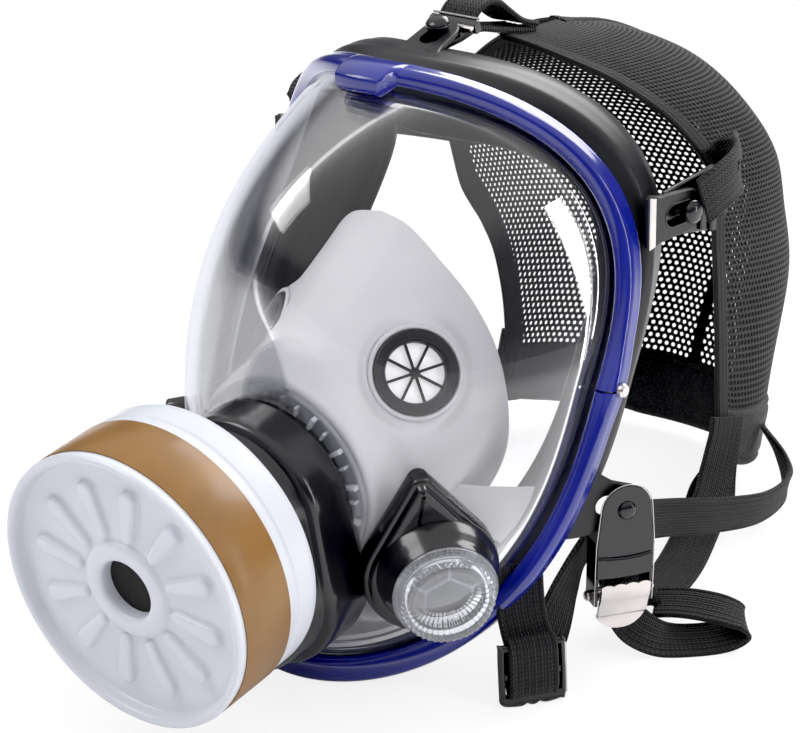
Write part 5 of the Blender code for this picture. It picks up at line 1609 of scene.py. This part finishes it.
# ---------------------------------------------------------------- materials of the CAD nodes
# Paired nodes are listed without their side
FINISH = {
    "port_gasket": RUBBER, "canister_gasket": RUBBER, "port_valve_seat": BLACK,
    "port_valve_disc": FLAP_PAINTED_GLOW, "particulate_filter": PAPER, "screen_front": SCREEN,
    "screen_rear": SCREEN, "carbon_bed": CARBON, "exhale_valve_seat": BLACK,
    "exhale_valve_disc": FLAP_PAINTED_GLOW, "cup_valve_disc": FLAP_PAINTED_GLOW, "cup_valve_seat": BLACK,
    "nose_cup": SILICONE, "top_tab": RUBBER, "temple_tab": RUBBER, "jaw_tab": RUBBER,
    "top_strap_end": BLACK, "temple_strap_end": BLACK, "jaw_buckle": DARK_STEEL,
    "jaw_lever": NICKEL, "jaw_lever_pin": NICKEL, "neck_buckle": BLACK, "head_net": NET,
}
for name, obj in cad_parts.items():
    paint = FINISH.get(name.removesuffix("_left").removesuffix("_right"))
    if paint is None and "strap" in name:
        paint = WEBBING
    if paint is None or obj.hide_render:
        continue
    obj.data.materials.clear()
    obj.data.materials.append(paint)

# ---------------------------------------------------------------- stage, in metres
CENTRE = (0.0, -0.02, 0.11)  # where the lamps point
EYE = (525.8, -545.4, 392.1)  # the camera, in the design frame
AZIMUTH, ELEVATION = 0.64142, 0.38957
WHITE_LIGHT = (1.0, 1.0, 1.0, 1.0)


def link_new(name, data):
    obj = bpy.data.objects.new(name, data)
    bpy.context.scene.collection.objects.link(obj)
    return obj


def sheet(name, x0, y0, x1, y1, z=0.0):
    mesh = bpy.data.meshes.new(name)
    mesh.from_pydata([(x, y, z) for x, y in rectangle(x0, y0, x1, y1)], [], [(0, 1, 2, 3)])
    return mesh


def aim(obj, at, target, axis):
    obj.location = at
    obj.rotation_euler = (Vector(target) - Vector(at)).to_track_quat(axis, "Y").to_euler()


def build_floor():
    """A white floor that fades to pure white for the camera away from the mask."""
    mesh = sheet("floor", -6, -6, 6, 9, z=-0.0005)
    floor = link_new("floor", mesh)
    tree = shader("floor_white", (0.93, 0.93, 0.94), roughness=0.8)
    glow = tree.add("Emission", {"Color": WHITE_LIGHT, "Strength": 1.0}).outputs[0]
    seen = tree.add("LightPath").outputs["Is Camera Ray"]
    position = tree.add("NewGeometry").outputs["Position"]
    away = tree.add("VectorMath", {0: position}, operation="LENGTH").outputs["Value"]
    fade = tree.spread(away, from_min=0.25, from_max=0.75, to_min=0.8, to_max=1.0)
    surface = tree.mix(tree.math("MULTIPLY", seen, fade), tree.main.outputs[0], glow)
    tree.set(tree.nodes["Material Output"], {"Surface": surface})
    mesh.materials.append(tree.owner)


def build_world():
    """White for the camera, and a banded room, bright overhead, for all other rays."""
    world = bpy.data.worlds.new("studio")
    bpy.context.scene.world = world
    tree = Tree(world)
    plain = tree.nodes["Background"]
    tree.set(plain, {"Color": WHITE_LIGHT, "Strength": 1.0})
    direction = tree.add("TexCoord").outputs["Generated"]
    upwards = tree.add("SeparateXYZ", {0: direction}).outputs["Z"]
    wash = tree.ramp(tree.spread(upwards, from_min=-1.0), [
        (0.0, (0.5, 0.5, 0.52)), (0.47, (0.5, 0.5, 0.52)), (0.53, (0.08, 0.08, 0.09)),
        (0.66, (0.12, 0.12, 0.13)), (0.74, (0.72, 0.72, 0.73)), (1.0, (0.95, 0.95, 0.95)),
    ])
    room = tree.add("Background", {"Color": wash, "Strength": 1.0}).outputs[0]
    seen = tree.add("LightPath").outputs["Is Camera Ray"]
    surface = tree.mix(seen, room, plain.outputs[0])
    tree.set(tree.nodes["World Output"], {"Surface": surface})


def set_grade():
    """A little more contrast than the plain view."""
    view = bpy.context.scene.view_settings
    view.view_transform = "Standard"
    view.use_curve_mapping = True
    view.curve_mapping.black_level = (0.008, 0.008, 0.008)
    view.curve_mapping.white_level = (0.95, 0.95, 0.95)
    view.curve_mapping.update()


def lamp(name, at, size, power):
    data = bpy.data.lights.new(name, "AREA")
    data.shape = "RECTANGLE"
    data.size, data.size_y = size
    data.energy = power
    obj = link_new(name, data)
    aim(obj, at, CENTRE, "-Z")
    return obj


def lens_card(name, t, rho, reach, size, strength):
    """A bright card that only reflections see.

    It stands where the lens at t, rho mirrors it into the camera, for a long highlight.
    """
    p, n = to_world(dome(rho, t)), dome_normal(rho, t)
    view = unit(to_world(EYE) - p)
    at = p + (2 * np.dot(n, view) * n - view) * reach
    w, h = size[0] / 2, size[1] / 2
    mesh = sheet(name, -w, -h, w, h)
    tree = Tree(bpy.data.materials.new(name))
    light = tree.add("Emission", {"Strength": strength}).outputs[0]
    tree.set(tree.nodes["Material Output"], {"Surface": light})
    mesh.materials.append(tree.owner)
    obj = link_new(name, mesh)
    aim(obj, tuple(at), tuple(p), "Z")
    obj.visible_camera = obj.visible_diffuse = False
    obj.visible_shadow = obj.visible_transmission = False


def build_camera():
    data = bpy.data.cameras.new("camera")
    data.lens = 112.4
    data.sensor_width = 36.0
    data.sensor_fit = "HORIZONTAL"
    data.clip_start = 0.01
    camera = link_new("camera", data)
    right = Vector((math.cos(AZIMUTH), math.sin(AZIMUTH), 0))
    level = math.cos(ELEVATION)
    back = Vector((math.sin(AZIMUTH) * level, -math.cos(AZIMUTH) * level, math.sin(ELEVATION)))
    turn = Matrix((right, back.cross(right), back)).transposed().to_4x4()
    camera.matrix_world = Matrix.Translation(Vector(to_world(EYE))) @ turn
    bpy.context.scene.camera = camera


build_floor()
build_world()
set_grade()
lamp("key", at=(-0.75, -0.75, 1.25), size=(0.7, 0.7), power=7)
lamp("side", at=(1.3, 0.1, 0.9), size=(0.4, 1.0), power=8).visible_glossy = False
lamp("back", at=(0.1, 1.2, 1.15), size=(1.4, 0.8), power=22)
lens_card("card_right", t=0.25, rho=0.972, reach=1.3, size=(0.06, 1.0), strength=12.0)
lens_card("card_left", t=2.8, rho=0.93, reach=1.5, size=(0.06, 1.0), strength=3.0)
build_camera()
